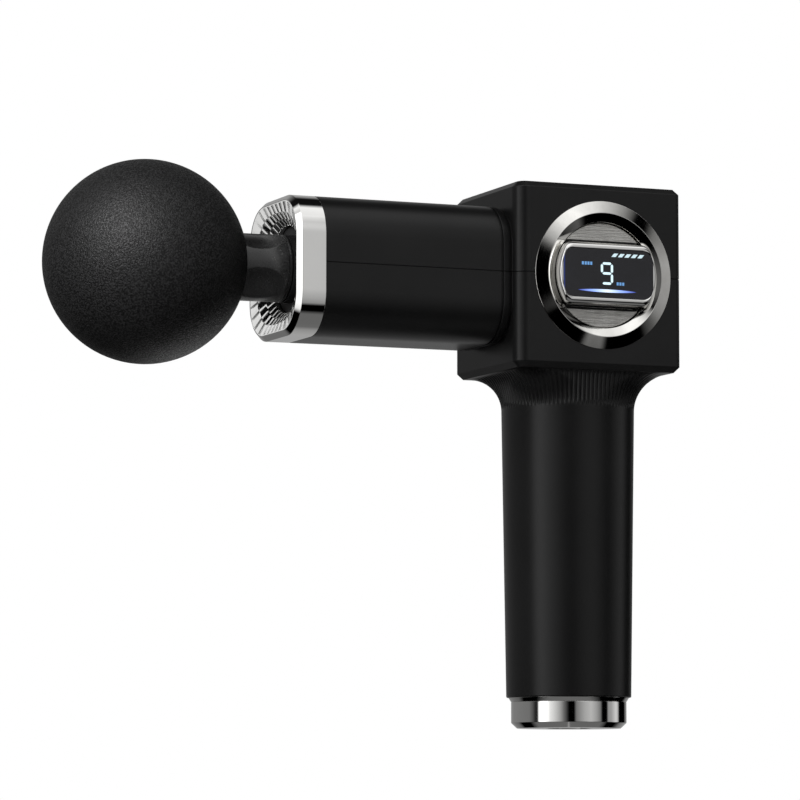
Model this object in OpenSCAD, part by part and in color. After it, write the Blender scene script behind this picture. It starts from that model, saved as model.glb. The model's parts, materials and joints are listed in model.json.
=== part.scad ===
// Massage gun: L-shaped, with a cube head housing, a rounded-square barrel, a round handle,
// a removable ball head and a display knob. Millimetres, +Z up.
// The origin is the centre of the flat underside of the base cap, on the handle's axis.
// The barrel points along -X and the display knob faces -Y.

/* [Body] */
// Width of the cube housing along the barrel's direction
body_w = 59; // [58:0.5:62]
// Depth of the cube housing, front to back
body_d = 51; // [51:0.5:54]
// Height of the cube housing
body_h = 61; // [60:0.5:64]
// Height of the cube housing's underside above the table
body_z = 116.5; // [114:0.5:120]
// Chamfer along the cube's top and bottom edges
body_chamfer = 2; // [1:0.1:2.4]
// Radius of the cube's upright edges
edge_r = 2.6; // [2:0.1:3]
// Wall of the cube and barrel shells
wall = 2.4; // [2:0.1:2.4]

/* [Barrel] */
// Side of the barrel's rounded square
barrel_s = 45.6; // [45:0.1:46]
// Corner radius of the barrel
barrel_r = 13.8; // [12:0.1:15]
// Height of the barrel's axis above the table
axis_z = 147.5; // [147:0.1:148]
// Distance from the handle's axis to the front end of the barrel shells
barrel_reach = 95.1; // [95:0.1:97]
// Length of the bright bezel on the barrel's end
bezel_len = 9.7; // [9:0.1:10]
// Chamfer around the bezel's front edge
bezel_chamfer = 1.6; // [1:0.1:2]

/* [Handle] */
// Radius of the handle at its lower end
handle_low_r = 20.6; // [20.6:0.1:21]
// Radius of the handle where the flare starts
handle_top_r = 22; // [22:0.1:22.5]
// Height of the handle's lower end above the table
handle_low_z = 10.1; // [10:0.1:10.5]
// Height where the flare starts
flare_z = 104.7; // [104:0.1:106]
// Wall of the handle shell
handle_wall = 1.9; // [1.7:0.1:2]
// Radius of the base cap
cap_r = 19; // [18.5:0.1:19.5]
// Height of the base cap
cap_h = 8.6; // [8.4:0.1:9]

/* [Head] */
// Radius of the ball
ball_r = 32.8; // [30:0.1:33]
// Distance from the handle's axis to the ball's centre
ball_reach = 148.5; // [148:0.1:150]
// Radius of the neck that carries the ball
neck_r = 10.95; // [10:0.05:11]
// Stroke of the plunger
stroke = 10; // [8:0.5:10]

/* [Dial] */
// Offset of the dial's centre from the handle's axis
dial_x = 1.2; // [0:0.1:1.2]
// Outer radius of the dial's bezel
dial_r = 24.4; // [24:0.1:24.6]
// Radius of the raised lip of the dial's bezel
lip_r = 20.4; // [20:0.1:21]
// Radius of the brushed disc
disc_r = 17.2; // [17:0.05:17.2]
// Height of the display pod at its foot
pod_foot_h = 21.4; // [20:0.1:22]
// Height of the display pod at its front
pod_front_h = 17.1; // [17:0.1:18]
// How far the display pod stands out from the disc
pod_depth = 5.15; // [4.8:0.05:5.5]
// How far the knob can be pressed in
press_travel = 0.8; // [0.5:0.1:0.8]

/* [Hidden] */
$fn = 96;
eps = 0.01;
far = 400;

// Faces of the cube housing
face_x = body_w / 2;
face_y = body_d / 2;
inner_x = face_x - wall;
inner_y = face_y - wall;
body_top = body_z + body_h;

// Barrel and plunger line, all along -X
barrel_end = -barrel_reach;
bezel_front = barrel_end - bezel_len;
bezel_rim_s = barrel_s - 2 * bezel_chamfer;
bezel_rim_r = barrel_r - bezel_chamfer;
bezel_opening_s = bezel_rim_s - 0.4;
bezel_opening_r = bezel_rim_r - 0.2;
bezel_seat_x = barrel_end - 3;
groove_x = -face_x - 2.7;
groove_w = 0.8;
groove_depth = 0.7;
bore_s = barrel_s - 2 * wall;
bore_r = barrel_r - wall;
plate_gap = 0.1;
plate_t = 4;
front_plate_x = barrel_end + 3.1;
rear_plate_x = -46;
tube_r = 15;
tube_bore_r = 13.2;
tube_front = barrel_end - 0.9;
tube_rear = -38;
bush_len = 16;
running_gap = 0.05;
socket_r = 11;
socket_front = bezel_front + 3.3;
socket_back = -66;
socket_bore_r = 7.06;
socket_depth = 27.5;
shaft_r = 6;
stem_r = 7;
stem_len = 26;
ring_minor = 0.75;
ring_major = 6.28;
ring_x = [5, 12];
seal_r = 14;
dish_hole_r = 14.2;
dish_depth = 4.7;

// Crank drive, with its axis along Y
throw_r = stroke / 2;
crank_x = 1;
pin_x = crank_x + throw_r;
yoke_t = 4.6;
roller_r = 4;
// The slide follows the crank by a constant ratio, so the slot is wider than the roller by
// more than the difference between that straight line and the true cosine law.
slot_half_w = roller_r + 0.25 * throw_r;
slot_half_h = throw_r + roller_r + 0.5;
yoke_half_w = slot_half_w + 3.25;
yoke_half_h = slot_half_h + 3.5;
tail_h = 10;
shaft_back = -22;
tongue_len = 10;
crank_y0 = 2.9;
crank_y1 = 5.4;
crank_hub_r = 8;
counter_r = 13;
pin_r = 2;
frame_y0 = 5.9;
frame_y1 = 8.4;
frame_left = -20.5;
frame_right = 21;
frame_half_h = 22.5;
frame_hole = [14.5, 19.8];
hub_y1 = 18.6;
hub_r = 6.4;
bearing_r = 5;
bearing_w = 4;
shaft_motor_r = 2.5;
stator_y0 = 9.6;
stator_y1 = 17;
stator_r = 16;
teeth = 9;
magnet_in_r = 16.5;
bell_in_r = 18;
bell_r = 20;
bell_y0 = 9;
bell_y1 = 19.2;
bell_y2 = 21.4;
poles = 12;

// Dial levels along Y, from the front inwards
dial_edge_y = -face_y - 0.1;
lip_y = dial_edge_y - 1.65;
recess_y = lip_y + 1.6;
floor_y = -face_y + 0.9;
pod_y = floor_y - pod_depth;
disc_t = 1.4;
disc_back = floor_y + disc_t;
neck_ring_r = 20.6;
collar_r = 19;
collar_bore_r = 17.5;
collar_back = floor_y + 4.6;
holder_in_r = 19.2;
holder_r = 20.6;
board_y = -12;
board_t = 1.6;
carrier_y0 = disc_back + 1.2;
carrier_y1 = carrier_y0 + 1.8;
carrier_hub_y = -14.5;
spindle_r = 4.5;
spindle_end = -13.2;
clip_y = -14.3;
clip_t = 0.6;
switch_ring_r = 12.5;
dial_hole = [17, 19];
ear_y = -18;
ear_t = 1.8;
glass_w = 32.2;
glass_h = 16;
glass_corner = 3.8;

// Screws: thread radius, head radius and head height
screw_r = 1;
screw_clear_r = 1.2;
head_r = 2;
head_h = 1.4;
post_xy = [24.4, 20.3];
post_r = 2.4;
post_screw_top = axis_z + 9;
floor_hole_r = 17.4;
handle_screw_r = 19.8;

// Electronics and battery
pcb_t = 1.6;
main_z = 171.4;
main_size = [42, 34];
main_hole = [17, 13];
cell_r = 9.175;
cell_x = 9.2;
cell_len = 65;
cell_z = 24;
holder_len = 8;
lead_r = 1.1;

// ---------------------------------------------------------------- shared shapes

// Rectangle with round corners, centred
module round_rect(w, h, r) {
    square([w, h - 2 * r], center = true);
    square([w - 2 * r, h], center = true);
    for (sx = [-1, 1])
        for (sy = [-1, 1])
            translate([sx * (w / 2 - r), sy * (h / 2 - r)])
                circle(r);
}

// Rectangle from x 0, with its four corners cut off
module cut_rect(w, h, c) {
    polygon([[-w / 2 + c, 0], [w / 2 - c, 0], [w / 2, c], [w / 2, h - c],
             [w / 2 - c, h], [-w / 2 + c, h], [-w / 2, h - c], [-w / 2, c]]);
}

// Rod on the barrel's axis, from x0 to x1
module rod_x(x0, x1, r) {
    translate([x0, 0, axis_z])
        rotate([0, 90, 0])
            cylinder(h = x1 - x0, r = r);
}

// Rod along Y through (x, z), from y0 to y1
module rod_y(x, z, y0, y1, r) {
    translate([x, y0, z])
        rotate([-90, 0, 0])
            cylinder(h = y1 - y0, r = r);
}

// Upright rod through (x, y), from z0 to z1
module rod_z(x, y, z0, z1, r) {
    translate([x, y, z0])
        cylinder(h = z1 - z0, r = r);
}

// Rounded-square bar on the barrel's axis, from x0 to x1
module bar_x(x0, x1, s, r) {
    translate([x0, 0, axis_z])
        rotate([90, 0, 90])
            linear_extrude(height = x1 - x0)
                round_rect(s, s, r);
}

// Turned piece on the barrel's axis; the profile's points are [radius, x]
module turn_x() {
    translate([0, 0, axis_z])
        rotate([0, 90, 0])
            rotate_extrude()
                children();
}

// Turned piece on the dial's axis; the profile's points are [radius, y]
module turn_dial() {
    translate([dial_x, 0, axis_z])
        rotate([-90, 0, 0])
            rotate_extrude()
                children();
}

// Flat shape in the dial's plane, pushed from y0 to y1; its own X is the row's X
module plate_dial(y0, y1) {
    translate([dial_x, y1, axis_z])
        rotate([90, 0, 0])
            linear_extrude(height = y1 - y0)
                children();
}

// Flat shape in the crank's plane, centred on the crank's axis
module plate_crank(y0, y1) {
    translate([crank_x, y1, axis_z])
        rotate([90, 0, 0])
            linear_extrude(height = y1 - y0)
                children();
}

// Pan-head screw with its head's underside at the origin and its thread along +Z
module screw(len) {
    cylinder(h = len, r = screw_r);
    translate([0, 0, -head_h])
        difference() {
            cylinder(h = head_h, r = head_r);
            translate([0, 0, -eps])
                cylinder(h = head_h / 2, r = head_r / 2, $fn = 6);
        }
}

// Coil spring along +Z
function coil_point(t, u, mean, wire, pitch) =
    [(mean + wire * cos(u)) * cos(t), (mean + wire * cos(u)) * sin(t),
     pitch * t / 360 + wire * sin(u)];

module coil(mean, wire, len, turns) {
    sides = 6;
    rings = turns * 10;
    pitch = (len - 2 * wire) / turns;
    points = [for (i = [0 : rings])
                  for (j = [0 : sides - 1])
                      coil_point(360 * turns * i / rings, 360 * j / sides, mean, wire, pitch)];
    walls = [for (i = [0 : rings - 1])
                 for (j = [0 : sides - 1])
                     let (k = (j + 1) % sides)
                         [i * sides + j, i * sides + k, (i + 1) * sides + k, (i + 1) * sides + j]];
    start = [[for (j = [0 : sides - 1]) sides - 1 - j]];
    end = [[for (j = [0 : sides - 1]) rings * sides + j]];
    translate([0, 0, wire])
        polyhedron(points = points, faces = concat(walls, start, end));
}

// Round lead swept along a hand-chosen route
function route_at(p, i) = p[max(0, min(len(p) - 1, i))];

function smooth_at(p, i, t) =
    let (a = route_at(p, i - 1), b = route_at(p, i), c = route_at(p, i + 1), d = route_at(p, i + 2))
        0.5 * (2 * b + (c - a) * t + (2 * a - 5 * b + 4 * c - d) * t * t
               + (3 * b - a - 3 * c + d) * t * t * t);

function smooth_route(p, n) =
    concat([for (i = [0 : len(p) - 2]) for (j = [0 : n - 1]) smooth_at(p, i, j / n)],
           [p[len(p) - 1]]);

function unit(v) = v / norm(v);

module lead(route) {
    sides = 8;
    p = smooth_route(route, 4);
    last = len(p) - 1;
    points = [for (i = [0 : last])
                  let (along = unit(route_at(p, i + 1) - route_at(p, i - 1)),
                       side = unit(cross(along, [0.3, 1, 0.1])),
                       up = cross(side, along))
                      for (j = [0 : sides - 1])
                          p[i] + lead_r * (cos(360 * j / sides) * side + sin(360 * j / sides) * up)];
    walls = [for (i = [0 : last - 1])
                 for (j = [0 : sides - 1])
                     let (k = (j + 1) % sides)
                         [i * sides + j, (i + 1) * sides + j, (i + 1) * sides + k, i * sides + k]];
    start = [[for (j = [0 : sides - 1]) j]];
    end = [[for (j = [0 : sides - 1]) last * sides + sides - 1 - j]];
    polyhedron(points = points, faces = concat(walls, start, end));
}

// ---------------------------------------------------------------- head and plunger

// Firm foam ball with a blind seat for the neck
module ball_head() {
    color([0.05, 0.05, 0.055])
        difference() {
            translate([-ball_reach, 0, axis_z])
                sphere(r = ball_r);
            neck_body();
        }
}

// The neck's outer shape, with the spigot that the ball is bonded to
module neck_body() {
    seat_x = -ball_reach + 0.75 * ball_r;
    tip_x = -ball_reach + 0.3 * ball_r;
    turn_x()
        polygon([[0, tip_x], [stem_r, tip_x], [stem_r, seat_x], [neck_r, seat_x],
                 [neck_r, socket_front - 0.6], [neck_r - 0.6, socket_front], [0, socket_front]]);
}

// Neck of the head, with the stem that plugs into the plunger
module head_neck() {
    color([0.06, 0.06, 0.065])
        difference() {
            union() {
                neck_body();
                rod_x(socket_front - eps, socket_front + stem_len, stem_r);
            }
            for (dx = ring_x)
                turn_x()
                    translate([stem_r - 0.5, socket_front + dx])
                        square([2, 2 * ring_minor], center = true);
        }
}

// Two rings on the stem that hold the head by friction
module head_o_rings() {
    color([0.1, 0.1, 0.1])
        for (dx = ring_x)
            turn_x()
                translate([ring_major, socket_front + dx])
                    circle(r = ring_minor, $fn = 32);
}

// Plunger: the socket for the head in front, the slotted shaft behind
module plunger() {
    color([0.1, 0.1, 0.105])
        difference() {
            union() {
                rod_x(socket_front, socket_back, socket_r);
                rod_x(socket_back - eps, shaft_back, shaft_r);
            }
            rod_x(socket_front - eps, socket_front + socket_depth, socket_bore_r);
            translate([shaft_back - tongue_len, -yoke_t / 2, axis_z - shaft_r])
                cube([tongue_len + 1, yoke_t, 2 * shaft_r]);
            rod_y(shaft_back - tongue_len / 2, axis_z, -shaft_r, shaft_r, 1.5);
        }
}

// Scotch yoke with an upright slot for the crank's roller and a tongue for the shaft
module yoke() {
    color([0.7, 0.71, 0.73])
        difference() {
            translate([crank_x, yoke_t / 2, axis_z])
                rotate([90, 0, 0])
                    linear_extrude(height = yoke_t)
                        difference() {
                            union() {
                                translate([throw_r, 0])
                                    round_rect(2 * yoke_half_w, 2 * yoke_half_h, 3);
                                translate([shaft_back - tongue_len - crank_x, -tail_h / 2])
                                    square([pin_x - shaft_back + tongue_len - yoke_half_w + 1,
                                            tail_h]);
                            }
                            translate([throw_r, 0])
                                round_rect(2 * slot_half_w, 2 * slot_half_h, slot_half_w - 0.5);
                        }
            rod_y(shaft_back - tongue_len / 2, axis_z, -shaft_r, shaft_r, 1.5);
        }
}

// Cross pin that joins the yoke to the shaft
module yoke_pin() {
    color([0.6, 0.6, 0.62])
        rod_y(shaft_back - tongue_len / 2, axis_z, -shaft_r + 0.6, shaft_r - 0.6, 1.5);
}

// Tube that carries both bushes
module guide_tube() {
    color([0.72, 0.73, 0.75])
        difference() {
            rod_x(tube_front, tube_rear, tube_r);
            rod_x(tube_front - eps, tube_rear + eps, tube_bore_r);
        }
}

// Plain bush for the socket
module front_bush() {
    color([0.7, 0.55, 0.25])
        difference() {
            rod_x(tube_front, tube_front + bush_len, tube_bore_r);
            rod_x(tube_front - eps, tube_front + bush_len + eps, socket_r + running_gap);
        }
}

// Plain bush for the shaft
module rear_bush() {
    color([0.7, 0.55, 0.25])
        difference() {
            rod_x(tube_rear - bush_len, tube_rear, tube_bore_r);
            rod_x(tube_rear - bush_len - eps, tube_rear + eps, shaft_r + running_gap);
        }
}

// Plate that centres the guide tube in the barrel
module guide_plate(x) {
    corner_hole = bore_s / 2 - 6.5;
    difference() {
        bar_x(x, x + plate_t, bore_s - 2 * plate_gap, bore_r - plate_gap);
        rod_x(x - eps, x + plate_t + eps, tube_r);
        for (sy = [-1, 1])
            for (sz = [-1, 1])
                translate([x - eps, sy * corner_hole, axis_z + sz * corner_hole])
                    rotate([0, 90, 0])
                        cylinder(h = plate_t + 2 * eps, r = 1.6);
    }
}

module front_guide_plate() {
    color([0.12, 0.12, 0.13])
        guide_plate(front_plate_x);
}

module rear_guide_plate() {
    color([0.12, 0.12, 0.13])
        guide_plate(rear_plate_x);
}

// Rubber lip that keeps dust out of the front bush
module dust_seal() {
    seal_front = tube_front - 2.6;
    color([0.08, 0.08, 0.08])
        turn_x()
            polygon([[socket_r + 0.08, seal_front], [seal_r, seal_front],
                     [seal_r, tube_front], [socket_r + 1.2, tube_front],
                     [socket_r + 1.2, seal_front + 1.2], [socket_r + 0.08, seal_front + 0.8]]);
}

// ---------------------------------------------------------------- barrel front

// Bright rounded-square bezel with a chamfered front edge and a spigot into the barrel
module front_bezel() {
    spigot_s = bore_s - 2 * plate_gap;
    color([0.8, 0.8, 0.8])
        difference() {
            union() {
                hull() {
                    bar_x(bezel_front + bezel_chamfer, barrel_end, barrel_s, barrel_r, $fn = 64);
                    bar_x(bezel_front, barrel_end, bezel_rim_s, bezel_rim_r, $fn = 64);
                }
                bar_x(barrel_end - 1, barrel_end + 2.9, spigot_s, bore_r - plate_gap);
            }
            bar_x(bezel_front - 1, bezel_seat_x, bezel_opening_s, bezel_opening_r);
            bar_x(bezel_seat_x - eps, barrel_end + 4, spigot_s - 2.4, bore_r - 1.3);
        }
}

// Bright dish around the neck's hole, cut with radial facets on the real piece
module facet_reflector() {
    rim_s = bezel_opening_s - 0.1;
    rim_r = bezel_opening_r - 0.05;
    rim_x = bezel_front + 0.1;
    color([0.85, 0.85, 0.85])
        difference() {
            bar_x(rim_x, bezel_seat_x - plate_gap, rim_s, rim_r);
            hull() {
                bar_x(rim_x - 0.5, rim_x + eps, rim_s - 0.5, rim_r - 0.25, $fn = 64);
                rod_x(rim_x, rim_x + dish_depth, dish_hole_r, $fn = 64);
            }
            rod_x(rim_x - 1, rim_x + 2 * dish_depth, dish_hole_r + eps);
        }
}

// ---------------------------------------------------------------- housing

// The cube's outer shape, with chamfered top and bottom edges and rounded upright edges
module body_block() {
    intersection() {
        translate([0, 0, body_z])
            linear_extrude(height = body_h)
                round_rect(body_w, body_d, edge_r);
        translate([0, body_d, body_z])
            rotate([90, 0, 0])
                linear_extrude(height = 2 * body_d)
                    cut_rect(body_w, body_h, body_chamfer);
        translate([-body_w, 0, body_z])
            rotate([90, 0, 90])
                linear_extrude(height = 2 * body_w)
                    cut_rect(body_d, body_h, body_chamfer);
    }
}

// Cube and barrel shells in one, before they are parted at the barrel's mid-height
module housing() {
    difference() {
        union() {
            difference() {
                union() {
                    body_block();
                    bar_x(barrel_end, -inner_x, barrel_s, barrel_r);
                }
                translate([-inner_x, -inner_y, body_z + wall])
                    cube([2 * inner_x, 2 * inner_y, body_h - 2 * wall]);
                bar_x(barrel_end - 1, -inner_x + 1, bore_s, bore_r);
            }
            corner_posts();
            frame_posts();
            dial_posts();
            board_posts();
        }
        difference() {
            bar_x(groove_x, groove_x + groove_w, barrel_s + 2, barrel_r + 1);
            bar_x(groove_x - 1, groove_x + groove_w + 1, barrel_s - 2 * groove_depth,
                  barrel_r - groove_depth);
        }
        rod_y(dial_x, axis_z, -face_y - 1, -inner_y + 1, neck_ring_r + 0.1);
        for (sx = [-1, 1])
            for (sy = [-1, 1]) {
                rod_z(sx * post_xy[0], sy * post_xy[1], body_z - 1, axis_z, screw_clear_r);
                rod_z(sx * post_xy[0], sy * post_xy[1], axis_z - eps, post_screw_top, screw_r);
                rod_z(sx * post_xy[0], sy * post_xy[1], body_z - 1, body_z + 1.6, head_r + 0.1);
            }
        for (sx = [-1, 1])
            for (sz = [-1, 1]) {
                rod_y(crank_x + sx * frame_hole[0], axis_z + sz * frame_hole[1],
                      frame_y1 - eps, frame_y1 + 9, screw_r);
                rod_y(dial_x + sx * dial_hole[0], axis_z + sz * dial_hole[1],
                      -inner_y - 0.8, ear_y + eps, screw_r);
            }
        for (a = [45 : 90 : 315])
            rod_z(handle_screw_r * cos(a), handle_screw_r * sin(a),
                  body_z - 1, body_z + wall + 1, screw_clear_r);
        rod_z(0, 0, body_z - 1, body_z + wall + 1, floor_hole_r);
    }
}

// Screw posts in the cube's four corners
module corner_posts() {
    for (sx = [-1, 1])
        for (sy = [-1, 1])
            rod_z(sx * post_xy[0], sy * post_xy[1], body_z + wall - eps, body_top - wall + eps,
                  post_r);
}

// Posts on the back wall for the drive frame
module frame_posts() {
    for (sx = [-1, 1])
        for (sz = [-1, 1])
            rod_y(crank_x + sx * frame_hole[0], axis_z + sz * frame_hole[1], frame_y1,
                  inner_y + eps, 2.6);
}

// Posts behind the front wall for the dial holder
module dial_posts() {
    for (sx = [-1, 1])
        for (sz = [-1, 1])
            rod_y(dial_x + sx * dial_hole[0], axis_z + sz * dial_hole[1], -inner_y - eps,
                  ear_y, 2.4);
}

// Posts under the top wall for the main board
module board_posts() {
    for (sx = [-1, 1])
        for (sy = [-1, 1])
            rod_z(sx * main_hole[0], sy * main_hole[1], main_z + pcb_t, body_top - wall + eps,
                  2.2);
}

module upper_housing() {
    color([0.05, 0.05, 0.055])
        difference() {
            intersection() {
                housing();
                translate([-far / 2, -far / 2, axis_z])
                    cube([far, far, far]);
            }
            for (sx = [-1, 1])
                for (sy = [-1, 1])
                    rod_z(sx * main_hole[0], sy * main_hole[1], main_z, body_top - 1, screw_r);
        }
}

module lower_housing() {
    color([0.05, 0.05, 0.055])
        intersection() {
            housing();
            translate([-far / 2, -far / 2, axis_z - far])
                cube([far, far, far]);
        }
}

// Screws that close the housing, from under the cube
module housing_screws() {
    color([0.55, 0.55, 0.57])
        for (sx = [-1, 1])
            for (sy = [-1, 1])
                translate([sx * post_xy[0], sy * post_xy[1], body_z + 1.6])
                    screw(post_screw_top - body_z - 2.6);
}

// ---------------------------------------------------------------- handle and base

// One level of the flare: from the round handle to the cube's rounded rectangle
module flare_slice(z, t) {
    w = 2 * handle_top_r + t * (body_w - 2 * body_chamfer - 2 * handle_top_r);
    d = 2 * handle_top_r + t * (body_d - 2 * body_chamfer - 2 * handle_top_r);
    r = handle_top_r - 0.05 + t * (edge_r - handle_top_r);
    translate([0, 0, z])
        linear_extrude(height = 0.05)
            round_rect(w, d, r, $fn = 48);
}

// Tapered grip shell that flares out under the cube, with four screw holes in its thick top
module handle_shell() {
    flare_h = body_z - flare_z;
    steps = 5;
    low_in = handle_low_r - handle_wall;
    top_in = handle_top_r - handle_wall;
    color([0.05, 0.05, 0.055])
        difference() {
            union() {
                rotate_extrude()
                    polygon([[0, handle_low_z], [handle_low_r, handle_low_z],
                             [handle_top_r, flare_z], [handle_top_r, body_z - 0.5], [0, body_z - 0.5]]);
                for (i = [0 : steps - 1])
                    hull() {
                        flare_slice(flare_z + flare_h * sin(90 * i / steps),
                                    1 - cos(90 * i / steps));
                        flare_slice(flare_z + flare_h * sin(90 * (i + 1) / steps) - 0.05,
                                    1 - cos(90 * (i + 1) / steps));
                    }
            }
            rotate_extrude()
                polygon([[0, handle_low_z - 1], [low_in, handle_low_z - 1], [low_in, handle_low_z],
                         [top_in, flare_z - 1], [floor_hole_r, flare_z + 1.8], [0, flare_z + 1.8]]);
            rod_z(0, 0, flare_z, body_z + 1, floor_hole_r);
            for (a = [45 : 90 : 315])
                rod_z(handle_screw_r * cos(a), handle_screw_r * sin(a), body_z - 8, body_z + 1,
                      screw_r);
        }
}

// Screws from inside the cube down into the handle
module handle_screws() {
    color([0.55, 0.55, 0.57])
        for (a = [45 : 90 : 315])
            translate([handle_screw_r * cos(a), handle_screw_r * sin(a), body_z + wall])
                mirror([0, 0, 1])
                    screw(9);
}

// Bright conical ring between the handle and the cap
module base_ring() {
    color([0.8, 0.8, 0.8])
        rotate_extrude()
            polygon([[16, cap_h], [cap_r - 0.05, cap_h], [cap_r + 0.9, handle_low_z],
                     [handle_low_r - handle_wall - 0.1, handle_low_z],
                     [handle_low_r - handle_wall - 0.1, handle_low_z + 5],
                     [16, handle_low_z + 5]]);
}

// Slot shape of the charging inlet
module inlet_slot(w, h) {
    round_rect(w, h, h / 2 - 0.05);
}

// Bright cap with a bevelled foot and the charging inlet's opening in its underside
module base_cap() {
    bevel_h = 1.8;
    floor_t = 2.2;
    color([0.8, 0.8, 0.8])
        difference() {
            rotate_extrude()
                polygon([[0, 0], [cap_r - 1.9, 0], [cap_r, bevel_h], [cap_r, cap_h], [15.9, cap_h],
                         [15.9, cap_h + 3.4], [14.2, cap_h + 3.4], [14.2, floor_t], [0, floor_t]]);
            rod_z(0, 0, -1, 0.8, 7.5);
            translate([0, 0, -1])
                linear_extrude(height = 4)
                    inlet_slot(9.6, 3.9);
        }
}

// ---------------------------------------------------------------- drive

// Frame that holds the motor's bearings and its stator
module drive_frame() {
    color([0.6, 0.61, 0.63])
        difference() {
            union() {
                translate([frame_left, frame_y0, axis_z - frame_half_h])
                    cube([frame_right - frame_left, frame_y1 - frame_y0, 2 * frame_half_h]);
                rod_y(crank_x, axis_z, frame_y1 - eps, hub_y1, hub_r);
            }
            rod_y(crank_x, axis_z, frame_y0 - 1, hub_y1 + 1, 3.2);
            rod_y(crank_x, axis_z, frame_y0 - 1, frame_y0 + bearing_w, bearing_r);
            rod_y(crank_x, axis_z, hub_y1 - bearing_w, hub_y1 + 1, bearing_r);
            rod_y(crank_x, axis_z - 15.5, frame_y0 - 1, frame_y1 + 1, 2);
            for (sx = [-1, 1])
                for (sz = [-1, 1])
                    rod_y(crank_x + sx * frame_hole[0], axis_z + sz * frame_hole[1],
                          frame_y0 - 1, frame_y1 + 1, screw_clear_r);
        }
}

module frame_screws() {
    color([0.55, 0.55, 0.57])
        for (sx = [-1, 1])
            for (sz = [-1, 1])
                translate([crank_x + sx * frame_hole[0], frame_y0, axis_z + sz * frame_hole[1]])
                    rotate([-90, 0, 0])
                        screw(10.5);
}

// Two ball bearings, drawn with their rings and a shield between them
module motor_bearings() {
    color([0.7, 0.7, 0.72])
        for (y = [frame_y0, hub_y1 - bearing_w])
            difference() {
                rod_y(crank_x, axis_z, y, y + bearing_w, bearing_r);
                rod_y(crank_x, axis_z, y - eps, y + bearing_w + eps, shaft_motor_r + running_gap);
                difference() {
                    rod_y(crank_x, axis_z, y - eps, y + 0.3, 4.3);
                    rod_y(crank_x, axis_z, y - 1, y + 1, 3.3);
                }
            }
}

// Laminated stator with its teeth
module motor_stator() {
    color([0.35, 0.35, 0.37])
        plate_crank(stator_y0, stator_y1)
            difference() {
                union() {
                    circle(8.4);
                    for (i = [0 : teeth - 1])
                        rotate(360 * i / teeth) {
                            translate([8, -1.5])
                                square([6.8, 3]);
                            intersection() {
                                translate([14, -4.2])
                                    square([3, 8.4]);
                                circle(stator_r);
                            }
                        }
                }
                circle(hub_r);
            }
}

// Copper coils, one around each tooth
module motor_windings() {
    color([0.72, 0.38, 0.15])
        difference() {
            plate_crank(stator_y0 - 0.5, stator_y1 + 0.5)
                for (i = [0 : teeth - 1])
                    rotate(360 * i / teeth)
                        translate([9, -2.7])
                            square([4.8, 5.4]);
            plate_crank(stator_y0, stator_y1)
                for (i = [0 : teeth - 1])
                    rotate(360 * i / teeth)
                        translate([8, -1.5])
                            square([6.8, 3]);
        }
}

// Outer rotor: a cup that turns around the stator
module motor_bell() {
    color([0.25, 0.25, 0.27])
        difference() {
            rod_y(crank_x, axis_z, bell_y0, bell_y2, bell_r);
            rod_y(crank_x, axis_z, bell_y0 - 1, bell_y1, bell_in_r);
            rod_y(crank_x, axis_z, bell_y0, bell_y2 + 1, shaft_motor_r);
            for (i = [0 : 5])
                translate([crank_x, 0, axis_z])
                    rotate([0, 60 * i, 0])
                        translate([11.5, bell_y1 - 1, 0])
                            rotate([-90, 0, 0])
                                cylinder(h = 4, r = 3.2);
        }
}

// Magnets inside the rotor's cup
module motor_magnets() {
    color([0.45, 0.45, 0.48])
        plate_crank(bell_y0 + 0.3, bell_y1 - 1.6)
            difference() {
                circle(bell_in_r);
                circle(magnet_in_r);
                for (i = [0 : poles / 2 - 1])
                    rotate(360 * i / poles)
                        square([3 * bell_r, 1], center = true);
            }
}

module motor_shaft() {
    color([0.75, 0.75, 0.77])
        rod_y(crank_x, axis_z, crank_y0, bell_y2, shaft_motor_r);
}

// Crank with its counterweight on the side away from the pin
module crank_disc() {
    color([0.5, 0.5, 0.52])
        plate_crank(crank_y0, crank_y1)
            difference() {
                union() {
                    circle(crank_hub_r);
                    intersection() {
                        circle(counter_r);
                        translate([-2 * counter_r - 2, -counter_r])
                            square(2 * counter_r);
                    }
                }
                circle(shaft_motor_r);
                translate([throw_r, 0])
                    circle(pin_r);
            }
}

module crank_pin() {
    color([0.75, 0.75, 0.77])
        rod_y(pin_x, axis_z, -yoke_t / 2 - 0.8, crank_y1, pin_r);
}

// Roller that runs in the yoke's slot
module crank_roller() {
    color([0.8, 0.8, 0.82])
        difference() {
            rod_y(pin_x, axis_z, -yoke_t / 2, yoke_t / 2, roller_r);
            rod_y(pin_x, axis_z, -yoke_t, yoke_t, pin_r);
        }
}

// Clip that keeps the roller on its pin
module crank_clip() {
    color([0.3, 0.3, 0.32])
        difference() {
            rod_y(pin_x, axis_z, -yoke_t / 2 - 0.7, -yoke_t / 2 - 0.15, pin_r + 1.2);
            rod_y(pin_x, axis_z, -yoke_t, 0, pin_r);
        }
}

// ---------------------------------------------------------------- dial

// Bright ring: bevel outside, raised lip, cone down to the disc and a collar through the wall
module dial_bezel() {
    color([0.8, 0.8, 0.8])
        turn_dial()
            polygon([[dial_r, -face_y], [dial_r, dial_edge_y], [lip_r, lip_y],
                     [collar_bore_r, recess_y], [collar_bore_r, collar_back],
                     [collar_r, collar_back], [collar_r, -inner_y],
                     [neck_ring_r, -inner_y], [neck_ring_r, -face_y]]);
}

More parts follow.
